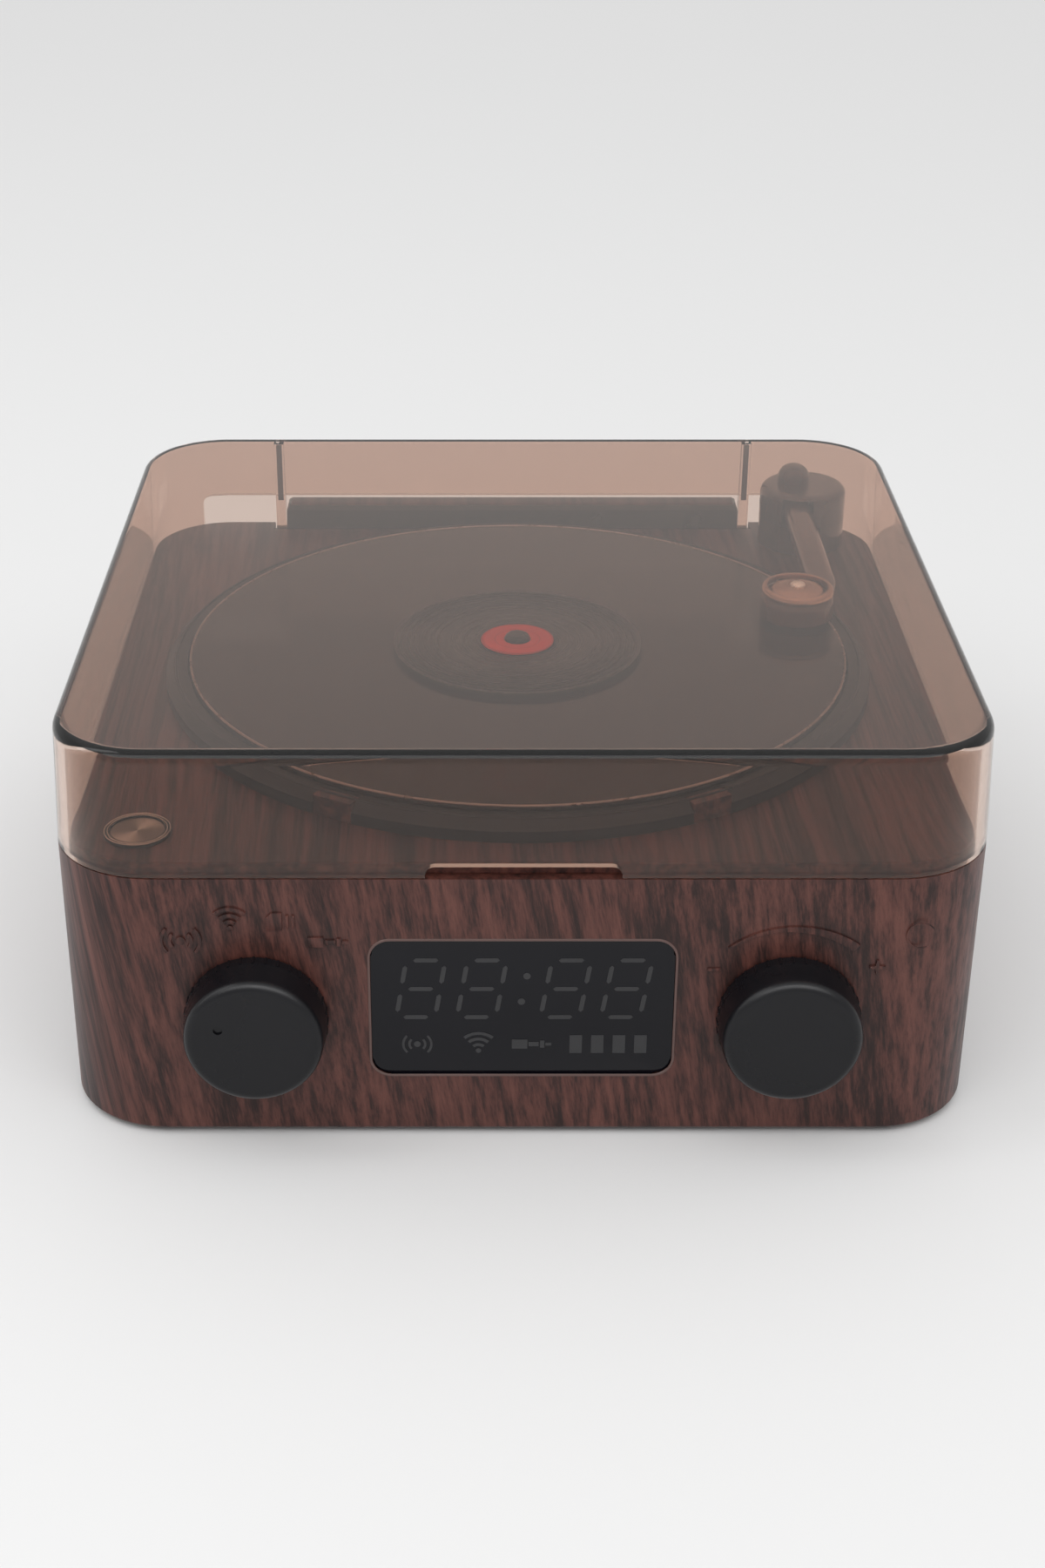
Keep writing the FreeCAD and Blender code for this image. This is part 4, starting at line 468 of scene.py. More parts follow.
WALNUT_WALL = WalnutWrap("walnut_upright")
WALNUT_DECK = WalnutWrap("walnut_deck", Grain.FORE_AND_AFT)
SMOKE = SmokedClear("smoked_clear")
# Opaque dark brown for strips on the lid arms: painted shade where the clear arms look dark.
ARM_SHADE_PAINT = Plastic("lid_arm_shade_paint", (0.105, 0.055, 0.040), 0.30, 0.0)
HEAD_BELL = Metal("head_bell", (0.56, 0.38, 0.30), 0.15, 0.000001, 0.08)
KNOB_BLACK = Plastic("knob_black", (0.0045, 0.0045, 0.0062), 0.28, 0.00002, specular=0.30)
CASE_BLACK = Plastic("case_black", (0.014, 0.014, 0.015), 0.55, 0.00005)
GLOSS_BLACK = Plastic("gloss_black", (0.0035, 0.0035, 0.0060), 0.06, 0.0, 0.0, 0.27)
HINGE_BLACK = Plastic("hinge_satin", (0.010, 0.008, 0.008), 0.24, 0.00001)
BROWN_GLOSS = Plastic("brown_gloss", (0.045, 0.017, 0.013), 0.06, 0.0, 0.6)
PLATTER_GLOSS = Plastic("platter_gloss", (0.016, 0.0075, 0.0065), 0.03, 0.0, 0.0, 0.45)
ARM_BROWN = Plastic("arm_brown", (0.075, 0.030, 0.021), 0.09, 0.0, 0.6)
SEAM_BROWN = Plastic("seam_brown", (0.10, 0.052, 0.044), 0.3, 0.00001, 0.2)
CHARCOAL = Plastic("charcoal_ring", (0.009, 0.008, 0.009), 0.34, 0.00001, specular=0.35)
DIGIT_GREY = Plastic("digit_grey", (0.027, 0.027, 0.029), 0.42, 0.000005, specular=0.4)
MODULE_GREY = Plastic("module_grey", (0.10, 0.10, 0.11), 0.5, 0.00002)
CELL_SLEEVE = Plastic("cell_sleeve", (0.03, 0.12, 0.32), 0.22, 0.000004, 0.3)
SCREW_STEEL = Metal("screw_steel", (0.42, 0.42, 0.43), 0.32)
CASE_STEEL = Metal("case_steel", (0.56, 0.56, 0.57), 0.36)
MAGNET_STEEL = Metal("magnet_steel", (0.34, 0.34, 0.35), 0.5, 0.00003)
TURNED_BRASS = Metal("turned_brass", (0.74, 0.50, 0.20), 0.26)
# Light metal for beads on the button ring: a painted highlight along the ring's edges.
RING_HIGHLIGHT_METAL = Metal("ring_painted_highlight", (0.72, 0.62, 0.55), 0.2)
# Light metal for a bead on the platter's top edge: a painted highlight along the rounded edge of the dark
# platter.
PAINTED_RIM_HIGHLIGHT = Metal("painted_rim_highlight_metal", (0.42, 0.34, 0.31), 0.28)
# Near-white metal, brighter than chrome: the real tip of the head with a painted highlight of a lamp in its
# colour.
TIP_CHROME_WITH_GLINT = Metal("tip_chrome_and_painted_glint", (1.0, 0.96, 0.90), 0.28, 0.0000005, 0.02)
RUBBER = SoftRubber("soft_rubber")
BOARD = CircuitBoard("circuit_board")
CONE_PAPER = PressedPaper("cone_paper")

_materials: dict[Finish, bpy.types.Material] = {}


def material_of(finish: Finish) -> bpy.types.Material:
    """The finish's material, written once."""
    if finish not in _materials:
        _materials[finish] = finish.make()
    return _materials[finish]


def dress(finish: Finish, *nodes: str) -> None:
    """Give CAD nodes a finish in place of their plain one."""
    for node in nodes:
        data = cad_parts[node].data
        data.materials.clear()
        data.materials.append(material_of(finish))


# ---------------------------------------------------------------- meshes
def middle(node: str) -> Vector:
    """Middle of a node's box."""
    low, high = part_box(node)
    return (low + high) / 2


def mesh_piece(name: str, bm: bmesh.types.BMesh, finish: Finish, body: str) -> bpy.types.Object:
    """Turn a bmesh in the row frame into a finished piece.

    Args:
        name: Name of the piece.
        bm: The shape; it is freed.
        finish: Its finish.
        body: CAD body that it rides on.

    Returns:
        The piece.
    """
    bmesh.ops.remove_doubles(bm, verts=bm.verts, dist=1e-7)
    bmesh.ops.recalc_face_normals(bm, faces=bm.faces)
    data = bpy.data.meshes.new(name)
    bm.to_mesh(data)
    bm.free()
    for face in data.polygons:
        face.use_smooth = True
    data.set_sharp_from_angle(angle=SMOOTH_ANGLE)
    data.materials.append(material_of(finish))
    made = bpy.data.objects.new(name, data)
    bpy.context.scene.collection.objects.link(made)
    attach(made, body)
    log.info("%s: %d faces on %s", name, len(data.polygons), body)
    return made


def lathe(profile: Sequence[Point], centre: Vector, facing: Facing = Facing.UP,
          steps: int = 96) -> bmesh.types.BMesh:
    """Turn a profile of (radius, height) points in millimetres round an axis through centre.

    Args:
        profile: Outline from one end of the axis to the other, or closed by its own last point.
        centre: Where the axis meets height 0, in metres.
        facing: Direction of the axis.
        steps: Faces round the axis.

    Returns:
        The turned shape.
    """
    bm = bmesh.new()
    rings: list[list[bmesh.types.BMVert]] = []
    place = Matrix.Translation(centre) @ facing.turn
    for radius, height in profile:
        if radius < 1e-6:
            rings.append([bm.verts.new(place @ Vector((0, 0, height * MM)))])
            continue
        rings.append([
            bm.verts.new(place @ Vector((
                radius * MM * math.cos(math.tau * i / steps), radius * MM * math.sin(math.tau * i / steps),
                height * MM)))
            for i in range(steps)
        ])
    for inner, outer in zip(rings, rings[1:]):
        for i in range(steps):
            corners = [inner[i % len(inner)], inner[(i + 1) % len(inner)],
                       outer[(i + 1) % len(outer)], outer[i % len(outer)]]
            distinct = list(dict.fromkeys(corners))
            if len(distinct) > 2:
                bm.faces.new(distinct)
    return bm


def rounded(profile: Sequence[Point], radius: float, corners: Iterable[int], steps: int = 5) -> list[Point]:
    """Round some corners of a profile.

    Args:
        profile: The outline's points.
        radius: Rounding in millimetres.
        corners: Numbers of the points to round.
        steps: Segments of each rounding.

    Returns:
        The outline with arcs in place of those points.
    """
    chosen, out = set(corners), []
    for number, point in enumerate(profile):
        if number not in chosen:
            out.append(point)
            continue
        here = Vector(point)
        back = (Vector(profile[number - 1]) - here).normalized()
        ahead = (Vector(profile[(number + 1) % len(profile)]) - here).normalized()
        half = back.angle(ahead) / 2
        reach = radius / math.tan(half)
        centre = here + (back + ahead).normalized() * (radius / math.sin(half))
        start, end = here + back * reach - centre, here + ahead * reach - centre
        for step in range(steps + 1):
            turned = start.slerp(end, step / steps).normalized() * radius
            out.append(tuple(centre + turned))
    return out


def quarter(radius: float, low: float, high: float, steps: int = 14) -> list[Point]:
    """A quarter ellipse from (radius, low) to the axis at high, in millimetres."""
    turns = [math.pi / 2 * step / steps for step in range(1, steps)]
    return [*[(radius * math.cos(turn), low + (high - low) * math.sin(turn)) for turn in turns], (0, high)]


def slabs(loops: Iterable[Sequence[Point]], centre: Vector, facing: Facing, thick: float,
          bevel: float = 0.0) -> bmesh.types.BMesh:
    """Raise flat outlines into solids.

    Args:
        loops: Outlines in millimetres, each going round anticlockwise.
        centre: Origin of the outlines, in metres; the solids rise from it.
        facing: Direction in which they rise.
        thick: Height in millimetres.
        bevel: Width of a bevel along the raised edges, in millimetres.

    Returns:
        All the solids.
    """
    bm = bmesh.new()
    place = Matrix.Translation(centre) @ facing.turn
    for loop in loops:
        low = [bm.verts.new((x * MM, y * MM, 0)) for x, y in loop]
        high = [bm.verts.new((x * MM, y * MM, thick * MM)) for x, y in loop]
        bm.faces.new(list(reversed(low)))
        top = bm.faces.new(high)
        for i in range(len(loop)):
            j = (i + 1) % len(loop)
            bm.faces.new((low[i], low[j], high[j], high[i]))
        if bevel:
            bmesh.ops.bevel(
                bm, geom=list(top.edges), offset=bevel * MM, segments=2, affect="EDGES", profile=0.6)
    bm.transform(place)
    return bm


def rectangle(width: float, height: float, x: float = 0, y: float = 0) -> list[Point]:
    """A rectangle's outline."""
    return [(x + sx * width / 2, y + sy * height / 2) for sx, sy in ((-1, -1), (1, -1), (1, 1), (-1, 1))]


def disc(radius: float, x: float = 0, y: float = 0, steps: int = 24) -> list[Point]:
    """A circle's outline."""
    return [
        (x + radius * math.cos(math.tau * i / steps), y + radius * math.sin(math.tau * i / steps))
        for i in range(steps)
    ]


def band(radius: float, start: float, end: float, width: Callable[[float], float] | float,
         x: float = 0, y: float = 0, steps: int = 32) -> list[Point]:
    """An arc with a width.

    Args:
        radius: Middle line, in millimetres.
        start: First angle in degrees, anticlockwise from +X.
        end: Last angle.
        width: The band's width, or a function of the share of its length.
        x: Centre of the arc.
        y: Centre of the arc.
        steps: Segments along the arc.

    Returns:
        The outline.
    """
    outer, inner = [], []
    for step in range(steps + 1):
        share = step / steps
        angle = math.radians(start + (end - start) * share)
        half = (width(share) if callable(width) else width) / 2
        for side, reach in ((outer, radius + half), (inner, radius - half)):
            side.append((x + reach * math.cos(angle), y + reach * math.sin(angle)))
    return outer + inner[::-1]


def moved(loops: Iterable[Sequence[Point]], x: float, y: float, scale: float = 1.0,
          turn: float = 0.0) -> list[list[Point]]:
    """Copies of outlines, scaled, turned by an angle in radians and moved."""
    c, s = math.cos(turn) * scale, math.sin(turn) * scale
    return [[(x + c * px - s * py, y + s * px + c * py) for px, py in loop] for loop in loops]


class Glyph(Enum):
    """Plain symbols, one unit high, that stand for the sources the player can use."""

    RADIO = "radio"
    WIRELESS = "wireless"
    CARD = "card"
    PLUG = "plug"

    @property
    def loops(self) -> list[list[Point]]:
        """The symbol's outlines."""
        if self is Glyph.RADIO:
            waves = [band(r, a - 44, a + 44, 0.17, steps=10) for r in (0.55, 0.98) for a in (0, 180)]
            return [disc(0.24, steps=16), *waves]
        if self is Glyph.WIRELESS:
            fans = [band(r, 48, 132, 0.18, 0, -0.45, 10) for r in (0.42, 0.78, 1.14)]
            return [disc(0.15, 0, -0.42, 16), *fans]
        if self is Glyph.CARD:
            return [
                [(-0.62, -0.50), (0.18, -0.50), (0.18, 0.50), (-0.34, 0.50), (-0.62, 0.22)],
                *[rectangle(0.15, 0.70, 0.44 + 0.30 * i, 0) for i in range(2)],
            ]
        return [
            rectangle(0.80, 0.56, -0.60, 0), rectangle(0.52, 0.26, 0.12, 0), rectangle(0.22, 0.44, 0.56, 0),
            rectangle(0.30, 0.18, 0.88, 0),
        ]


# ---------------------------------------------------------------- geometry nodes
class Repeater:
    """A geometry-node tree whose inputs have names, run once and turned into a plain mesh."""

    def __init__(self, name: str, finish: Finish) -> None:
        """Start the tree.

        Args:
            name: Name of the tree.
            finish: Finish that the result carries.
        """
        self.name = name
        self.finish = finish
        self.tree = bpy.data.node_groups.new(name, "GeometryNodeTree")
        self.tree.interface.new_socket("Geometry", in_out="OUTPUT", socket_type="NodeSocketGeometry")
        self.start = self.tree.nodes.new("NodeGroupInput")
        self.values: dict[str, Any] = {}

    def given(self, name: str, value: Any) -> bpy.types.NodeSocket:
        """A named input of the tree.

        Args:
            name: Its name.
            value: A whole number, a number, or an object.

        Returns:
            The socket that carries it.
        """
        kind = {int: "NodeSocketInt", float: "NodeSocketFloat"}.get(type(value), "NodeSocketObject")
        self.tree.interface.new_socket(name, in_out="INPUT", socket_type=kind)
        self.values[name] = value
        return self.start.outputs[name]

    def node(self, kind: str, inputs: dict[Any, Any] | None = None, **settings: Any) -> bpy.types.Node:
        """Add a node; inputs take values or sockets."""
        made = self.tree.nodes.new(kind)
        for key, value in settings.items():
            setattr(made, key, value)
        for key, value in (inputs or {}).items():
            if isinstance(value, bpy.types.NodeSocket):
                self.tree.links.new(value, made.inputs[key])
            else:
                made.inputs[key].default_value = value
        return made

    def combine(self, **axes: Any) -> bpy.types.NodeSocket:
        """A vector from X, Y and Z."""
        return self.node("ShaderNodeCombineXYZ", axes).outputs[0]

    def math(self, operation: str, first: Any, second: Any) -> bpy.types.NodeSocket:
        """Arithmetic on values."""
        return self.node("ShaderNodeMath", {0: first, 1: second}, operation=operation).outputs[0]

    def mesh(self, geometry: bpy.types.NodeSocket, place: Matrix) -> bmesh.types.BMesh:
        """Realise the geometry, run the tree and read its mesh.

        Args:
            geometry: What the tree ends in.
            place: Matrix from the tree's space to the row frame.

        Returns:
            The mesh, in the row frame.
        """
        real = self.node("GeometryNodeRealizeInstances", {"Geometry": geometry}).outputs[0]
        dressed = self.node(
            "GeometryNodeSetMaterial", {"Geometry": real, "Material": material_of(self.finish)})
        self.node("NodeGroupOutput", {"Geometry": dressed.outputs[0]})
        holder = bpy.data.objects.new(f"{self.name}_holder", bpy.data.meshes.new(f"{self.name}_holder"))
        bpy.context.scene.collection.objects.link(holder)
        modifier = holder.modifiers.new(self.name, "NODES")
        modifier.node_group = self.tree
        for item in self.tree.interface.items_tree:
            if item.in_out == "INPUT":
                modifier[item.identifier] = self.values[item.name]
        graph = bpy.context.evaluated_depsgraph_get()
        data = bpy.data.meshes.new_from_object(holder.evaluated_get(graph))
        holder.modifiers.remove(modifier)
        bpy.data.objects.remove(holder)
        bm = bmesh.new()
        bm.from_mesh(data)
        bm.transform(place)
        return bm


def in_row(name: str, shape: bmesh.types.BMesh, finish: Finish, count: int, step: Vector,
           place: Matrix) -> bmesh.types.BMesh:
    """Repeat a small shape along a line.

    Args:
        name: Name of the tree.
        shape: The shape at its first place; it is freed.
        finish: Its finish.
        count: How many.
        step: From one copy to the next, in metres, in the tree's space.
        place: Matrix from the tree's space to the row frame.

    Returns:
        All the copies as one mesh.
    """
    data = bpy.data.meshes.new(f"{name}_one")
    shape.to_mesh(data)
    shape.free()
    one = bpy.data.objects.new(f"{name}_one", data)
    tree = Repeater(name, finish)
    source = tree.node("GeometryNodeObjectInfo", {"Object": tree.given("Shape", one)}).outputs["Geometry"]
    offset = tree.combine(
        X=tree.given("Step X", step.x), Y=tree.given("Step Y", step.y), Z=tree.given("Step Z", step.z))
    line = tree.node(
        "GeometryNodeMeshLine", {"Count": tree.given("Count", count), "Offset": offset}, mode="OFFSET")
    copies = tree.node("GeometryNodeInstanceOnPoints", {"Points": line.outputs[0], "Instance": source})
    made = tree.mesh(copies.outputs[0], place)
    bpy.data.objects.remove(one)
    return made


def circles(name: str, finish: Finish, count: int, first: float, last: float, thick: float,
            place: Matrix) -> bmesh.types.BMesh:
    """Raised circles inside each other, evenly spaced.

    Args:
        name: Name of the tree.
        finish: Its finish.
        count: How many.
        first: Radius of the smallest, in metres.
        last: Radius of the largest, in metres.
        thick: Radius of the bead, in metres.
        place: Matrix from the circles' plane to the row frame.

    Returns:
        The beads as one mesh.
    """
    tree = Repeater(name, finish)
    number = tree.given("Count", count)
    start, end = tree.given("First radius", first), tree.given("Last radius", last)
    bead = tree.given("Bead", thick)
    points = tree.node("GeometryNodePoints", {"Count": number}).outputs[0]
    index = tree.node("GeometryNodeInputIndex").outputs[0]
    share = tree.math("DIVIDE", index, tree.math("MAXIMUM", tree.math("SUBTRACT", number, 1.0), 1.0))
    radius = tree.math("ADD", start, tree.math("MULTIPLY", share, tree.math("SUBTRACT", end, start)))
    ring = tree.node("GeometryNodeCurvePrimitiveCircle", {"Resolution": 128, "Radius": 1.0}).outputs[0]
    copies = tree.node("GeometryNodeInstanceOnPoints", {
        "Points": points, "Instance": ring, "Scale": tree.combine(X=radius, Y=radius, Z=radius)}).outputs[0]
    real = tree.node("GeometryNodeRealizeInstances", {"Geometry": copies}).outputs[0]
    section = tree.node("GeometryNodeCurvePrimitiveCircle", {"Resolution": 6, "Radius": bead}).outputs[0]
    beads = tree.node("GeometryNodeCurveToMesh", {"Curve": real, "Profile Curve": section}).outputs[0]
    return tree.mesh(beads, place)


# ---------------------------------------------------------------- sub-assemblies
def box_place(node: str, facing: Facing = Facing.UP) -> Matrix:
    """Matrix to a node's middle, on the side that a facing points to."""
    low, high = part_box(node)
    spot = (low + high) / 2
    if facing is Facing.UP:
        spot.z = high.z
    elif facing is Facing.DOWN:
        spot.z = low.z
    elif facing is Facing.FRONT:
        spot.y = low.y
    else:
        spot.y = high.y
    return Matrix.Translation(spot) @ facing.turn


@dataclass
class Cabinet:
    """Wood-wrapped body with its base, feet and screws."""

    shell: str = "body_shell"
    relief: float = 0.5
    mark_reach: float = 24.5
    mark_size: float = 4.2
    mark_angles: tuple[float, ...] = (-38.5, -11.0, 13.0, 40.0)
    sweep_radius: float = 22.0
    sweep_angle: float = 38.0
    sweep_thick: tuple[float, float] = (0.3, 2.1)
    sign_size: float = 3.4
    sign_stroke: float = 0.62
    minus_share: float = 0.8
    minus_at: Point = (-16.4, 12.0)
    plus_at: Point = (18.2, 12.6)
    ring_drop: Point = (26.9, 20.3)
    ring_radius: float = 3.0
    ring_arc: tuple[float, float] = (30, 300)
    ring_stroke: float = 0.3
    ring_relief: float = 0.12

    def front_of(self, node: str) -> Vector:
        """The point of the front wall in front of a node."""
        spot = middle(node)
        spot.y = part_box(self.shell)[0].y + SINK * MM
        return spot

    def raise_on_front(self, name: str, loops: list[list[Point]], node: str, thick: float) -> None:
        """Emboss outlines on the front wall, measured from a control's axis."""
        shape = slabs(loops, self.front_of(node), Facing.FRONT, thick + SINK, EDGE_BEVEL)
        mesh_piece(name, shape, WALNUT_WALL, "cabinet")

    def marks(self) -> None:
        """Emboss the four source symbols over the left knob."""
        loops: list[list[Point]] = []
        for glyph, angle in zip(Glyph, self.mark_angles):
            lean = math.radians(angle)
            x, y = self.mark_reach * math.sin(lean), self.mark_reach * math.cos(lean)
            loops += moved(glyph.loops, x, y, self.mark_size)
        self.raise_on_front("source_marks", loops, "mode_knob", self.relief)

    @property
    def plus(self) -> list[Point]:
        """Outline of a plus: three points of its first arm, then turned by quarters."""
        half = self.sign_stroke / 2
        tip = half + (self.sign_size - self.sign_stroke) / 2
        points: list[Point] = [(half, half), (half, tip), (-half, tip)]
        for _ in range(3):
            points += [(-y, x) for x, y in points[-3:]]
        return points

    def volume_scale(self) -> None:
        """Emboss the growing sweep, the minus, the plus and the sensor ring round the right knob."""
        thin, wide = self.sweep_thick
        sweep = band(
            self.sweep_radius, 90 + self.sweep_angle, 90 - self.sweep_angle,
            lambda share: thin + (wide - thin) * share)
        self.raise_on_front("volume_sweep", [sweep[::-1]], "volume_knob", self.relief)
        minus = rectangle(self.sign_size * self.minus_share, self.sign_stroke, *self.minus_at)
        loops = [minus, *moved([self.plus], *self.plus_at)]
        self.raise_on_front("volume_signs", loops, "volume_knob", self.relief)
        ring = band(self.ring_radius, *self.ring_arc, self.ring_stroke, *self.ring_drop)
        self.raise_on_front("sensor_ring", [ring[::-1]], "volume_knob", self.ring_relief)

    def build(self) -> None:
        """Make and dress everything."""
        dress(WALNUT_WALL, self.shell)
        dress(CASE_BLACK, "base_plate")
        dress(RUBBER, "rubber_feet")
        dress(SCREW_STEEL, "base_screws")
        self.marks()
        self.volume_scale()


@dataclass
class Deck:
    """Wooden deck with the dark ring round the platter."""

    ring: str = "platter_ring"
    bead_radius: float = 82.1
    bead: float = 0.35

    def build(self) -> None:
        """Dress the deck and lay a fine bead on the ring."""
        dress(WALNUT_DECK, "deck_panel")
        dress(SCREW_STEEL, "deck_screws")
        dress(CHARCOAL, self.ring)
        place = box_place(self.ring)
        radius = self.bead_radius * MM
        bead = circles("ring_bead", CHARCOAL, 1, radius, radius, self.bead * MM, place)
        mesh_piece("ring_bead", bead, CHARCOAL, "cabinet")


@dataclass
class Lid:
    """Tinted lid on its hinge bar."""

    strip_margin: float = 1.1
    strip_thick: float = 0.2
    arm_deep: float = 3.6
    edge_clear: float = 1.0
    edge_head: float = 2.3
    edge_wide: float = 1.5
    edge_thick: float = 0.3

    def build(self) -> None:
        """Dress the lid, the bar and its pins, and lay the wooden strip on the bar."""
        dress(SMOKE, "lid")
        dress(HINGE_BLACK, "hinge_block")
        dress(SCREW_STEEL, "hinge_pins")
        low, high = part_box("hinge_block")
        margins = 2 * self.strip_margin
        width, depth = (high.x - low.x) / MM - margins, (high.y - low.y) / MM - margins
        top = Vector(((low.x + high.x) / 2, (low.y + high.y) / 2, high.z - SINK * MM))
        strip = slabs([rectangle(width, depth)], top, Facing.UP, self.strip_thick + SINK, EDGE_BEVEL)
        mesh_piece("hinge_strip", strip, WALNUT_DECK, "cabinet")
        self.arm_edges()

    def arm_edges(self) -> None:
        """Lay dark opaque strips on the front of both lid arms, painted shade where the clear arms look dark.
        """
        block, pins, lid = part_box("hinge_block")[1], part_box("hinge_pins")[1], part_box("lid")[1]
        foot, head = block.z + self.edge_clear * MM, lid.z - self.edge_head * MM
        tall = (head - foot) / MM
        across = (block.x + pins.x) / 2 / MM
        front = middle("hinge_pins").y - self.arm_deep * MM
        centre = Vector((0, front + SINK * MM, foot))
        loops = [rectangle(self.edge_wide, tall, side * across, tall / 2) for side in (-1, 1)]
        edges = slabs(loops, centre, Facing.FRONT, self.edge_thick, EDGE_BEVEL)
        mesh_piece("arm_edges", edges, ARM_SHADE_PAINT, "lid")


@dataclass
class Turntable:
    """Platter, record and label, with the drive under the deck."""

    groove_bead: float = 0.05
    groove_rings: int = 26
    groove_span: tuple[float, float] = (11.2, 28.9)
    grooves_sunk: float = 0.10
    field_radius: float = 9.4
    field_sunk: float = 0.15
    land_radius: float = 9.9
    land_sunk: float = 0.02
    dip: float = 0.12
    rim_foot: float = 1.3
    rim_wide: float = 0.8
    rim_round: float = 0.3
    label_ring: float = 7.9
    press_wide: float = 0.3
    press_flat: float = 0.1
    press_deep: float = 0.08
    label_bevel: float = 0.1
    hub: float = 3.0
    hub_play: float = 0.1
    label_play: float = 0.05
    rim_bead: float = 0.28

    @property
    def top(self) -> Vector:
        """Where the spindle's axis meets the platter's top."""
        return box_place("platter").translation

    def disc(self) -> None:
        """Turn the record, with a raised rim, a sunk label field and groove rings."""
        low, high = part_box("record")
        radius, height = (high.x - low.x) / 2 / MM, (high.z - low.z) / MM
        centre = Vector((self.top.x, self.top.y, low.z))
        hole, field = self.hub + self.hub_play, height - self.field_sunk
        profile = rounded([
            (hole, 0), (hole, field), (self.field_radius, field), (self.land_radius, height - self.land_sunk),
            (radius - self.rim_foot, height - self.dip), (radius - self.rim_wide, height), (radius, height),
            (radius, 0),
        ], self.rim_round, (6,))
        shape = lathe([*profile, (hole, 0)], centre)
        finish = Vinyl("vinyl", tuple(centre))
        made = mesh_piece("record_disc", shape, finish, "platter")
        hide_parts("record")
        first, last = self.groove_span
        place = Matrix.Translation(centre + Vector((0, 0, (height - self.grooves_sunk) * MM)))
        rings = circles(
            "record_grooves", finish, self.groove_rings, first * MM, last * MM, self.groove_bead * MM, place)
        mesh_piece("record_grooves", rings, finish, "platter")

    def label(self) -> None:
        """Turn the paper label with its pressed ring."""
        low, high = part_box("record_label")
        radius, height = (high.x - low.x) / 2 / MM, (high.z - low.z) / MM
        centre = Vector((self.top.x, self.top.y, low.z))
        ring, hole, bevel = self.label_ring, self.hub + self.label_play, self.label_bevel
        wide, flat, pressed = self.press_wide, self.press_flat, height - self.press_deep
        profile = [
            (hole, 0), (hole, height), (ring - wide, height), (ring - flat, pressed), (ring + flat, pressed),
            (ring + wide, height), (radius - bevel, height), (radius, height - bevel), (radius, 0), (hole, 0)]
        finish = PrintedLabel("label_print", tuple(centre), radius * MM)
        made = mesh_piece("label_disc", lathe(profile, centre), finish, "platter")
        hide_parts("record_label")

    def build(self) -> None:
        """Dress the CAD nodes and make the record."""
        dress(PLATTER_GLOSS, "platter")
        dress(CASE_BLACK, "platter_pulley")
        dress(HINGE_BLACK, "spindle")
        dress(TURNED_BRASS, "spindle_bush", "motor_pulley")
        dress(SCREW_STEEL, "spindle_clip", "motor_shaft", "motor_screws")
        dress(RUBBER, "drive_belt")
        dress(CASE_STEEL, "motor_can")
        self.disc()
        self.label()
        # Painted highlight: a light metal bead round the platter's top edge stands in for the light along its
        # rounded edge.
        low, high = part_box("platter")
        radius = (high.x - low.x) / 2 - self.rim_bead * MM
        place = box_place("platter")
        rim = circles("platter_rim", PAINTED_RIM_HIGHLIGHT, 1, radius, radius, self.rim_bead * MM, place)
        mesh_piece("platter_rim", rim, PAINTED_RIM_HIGHLIGHT, "platter")


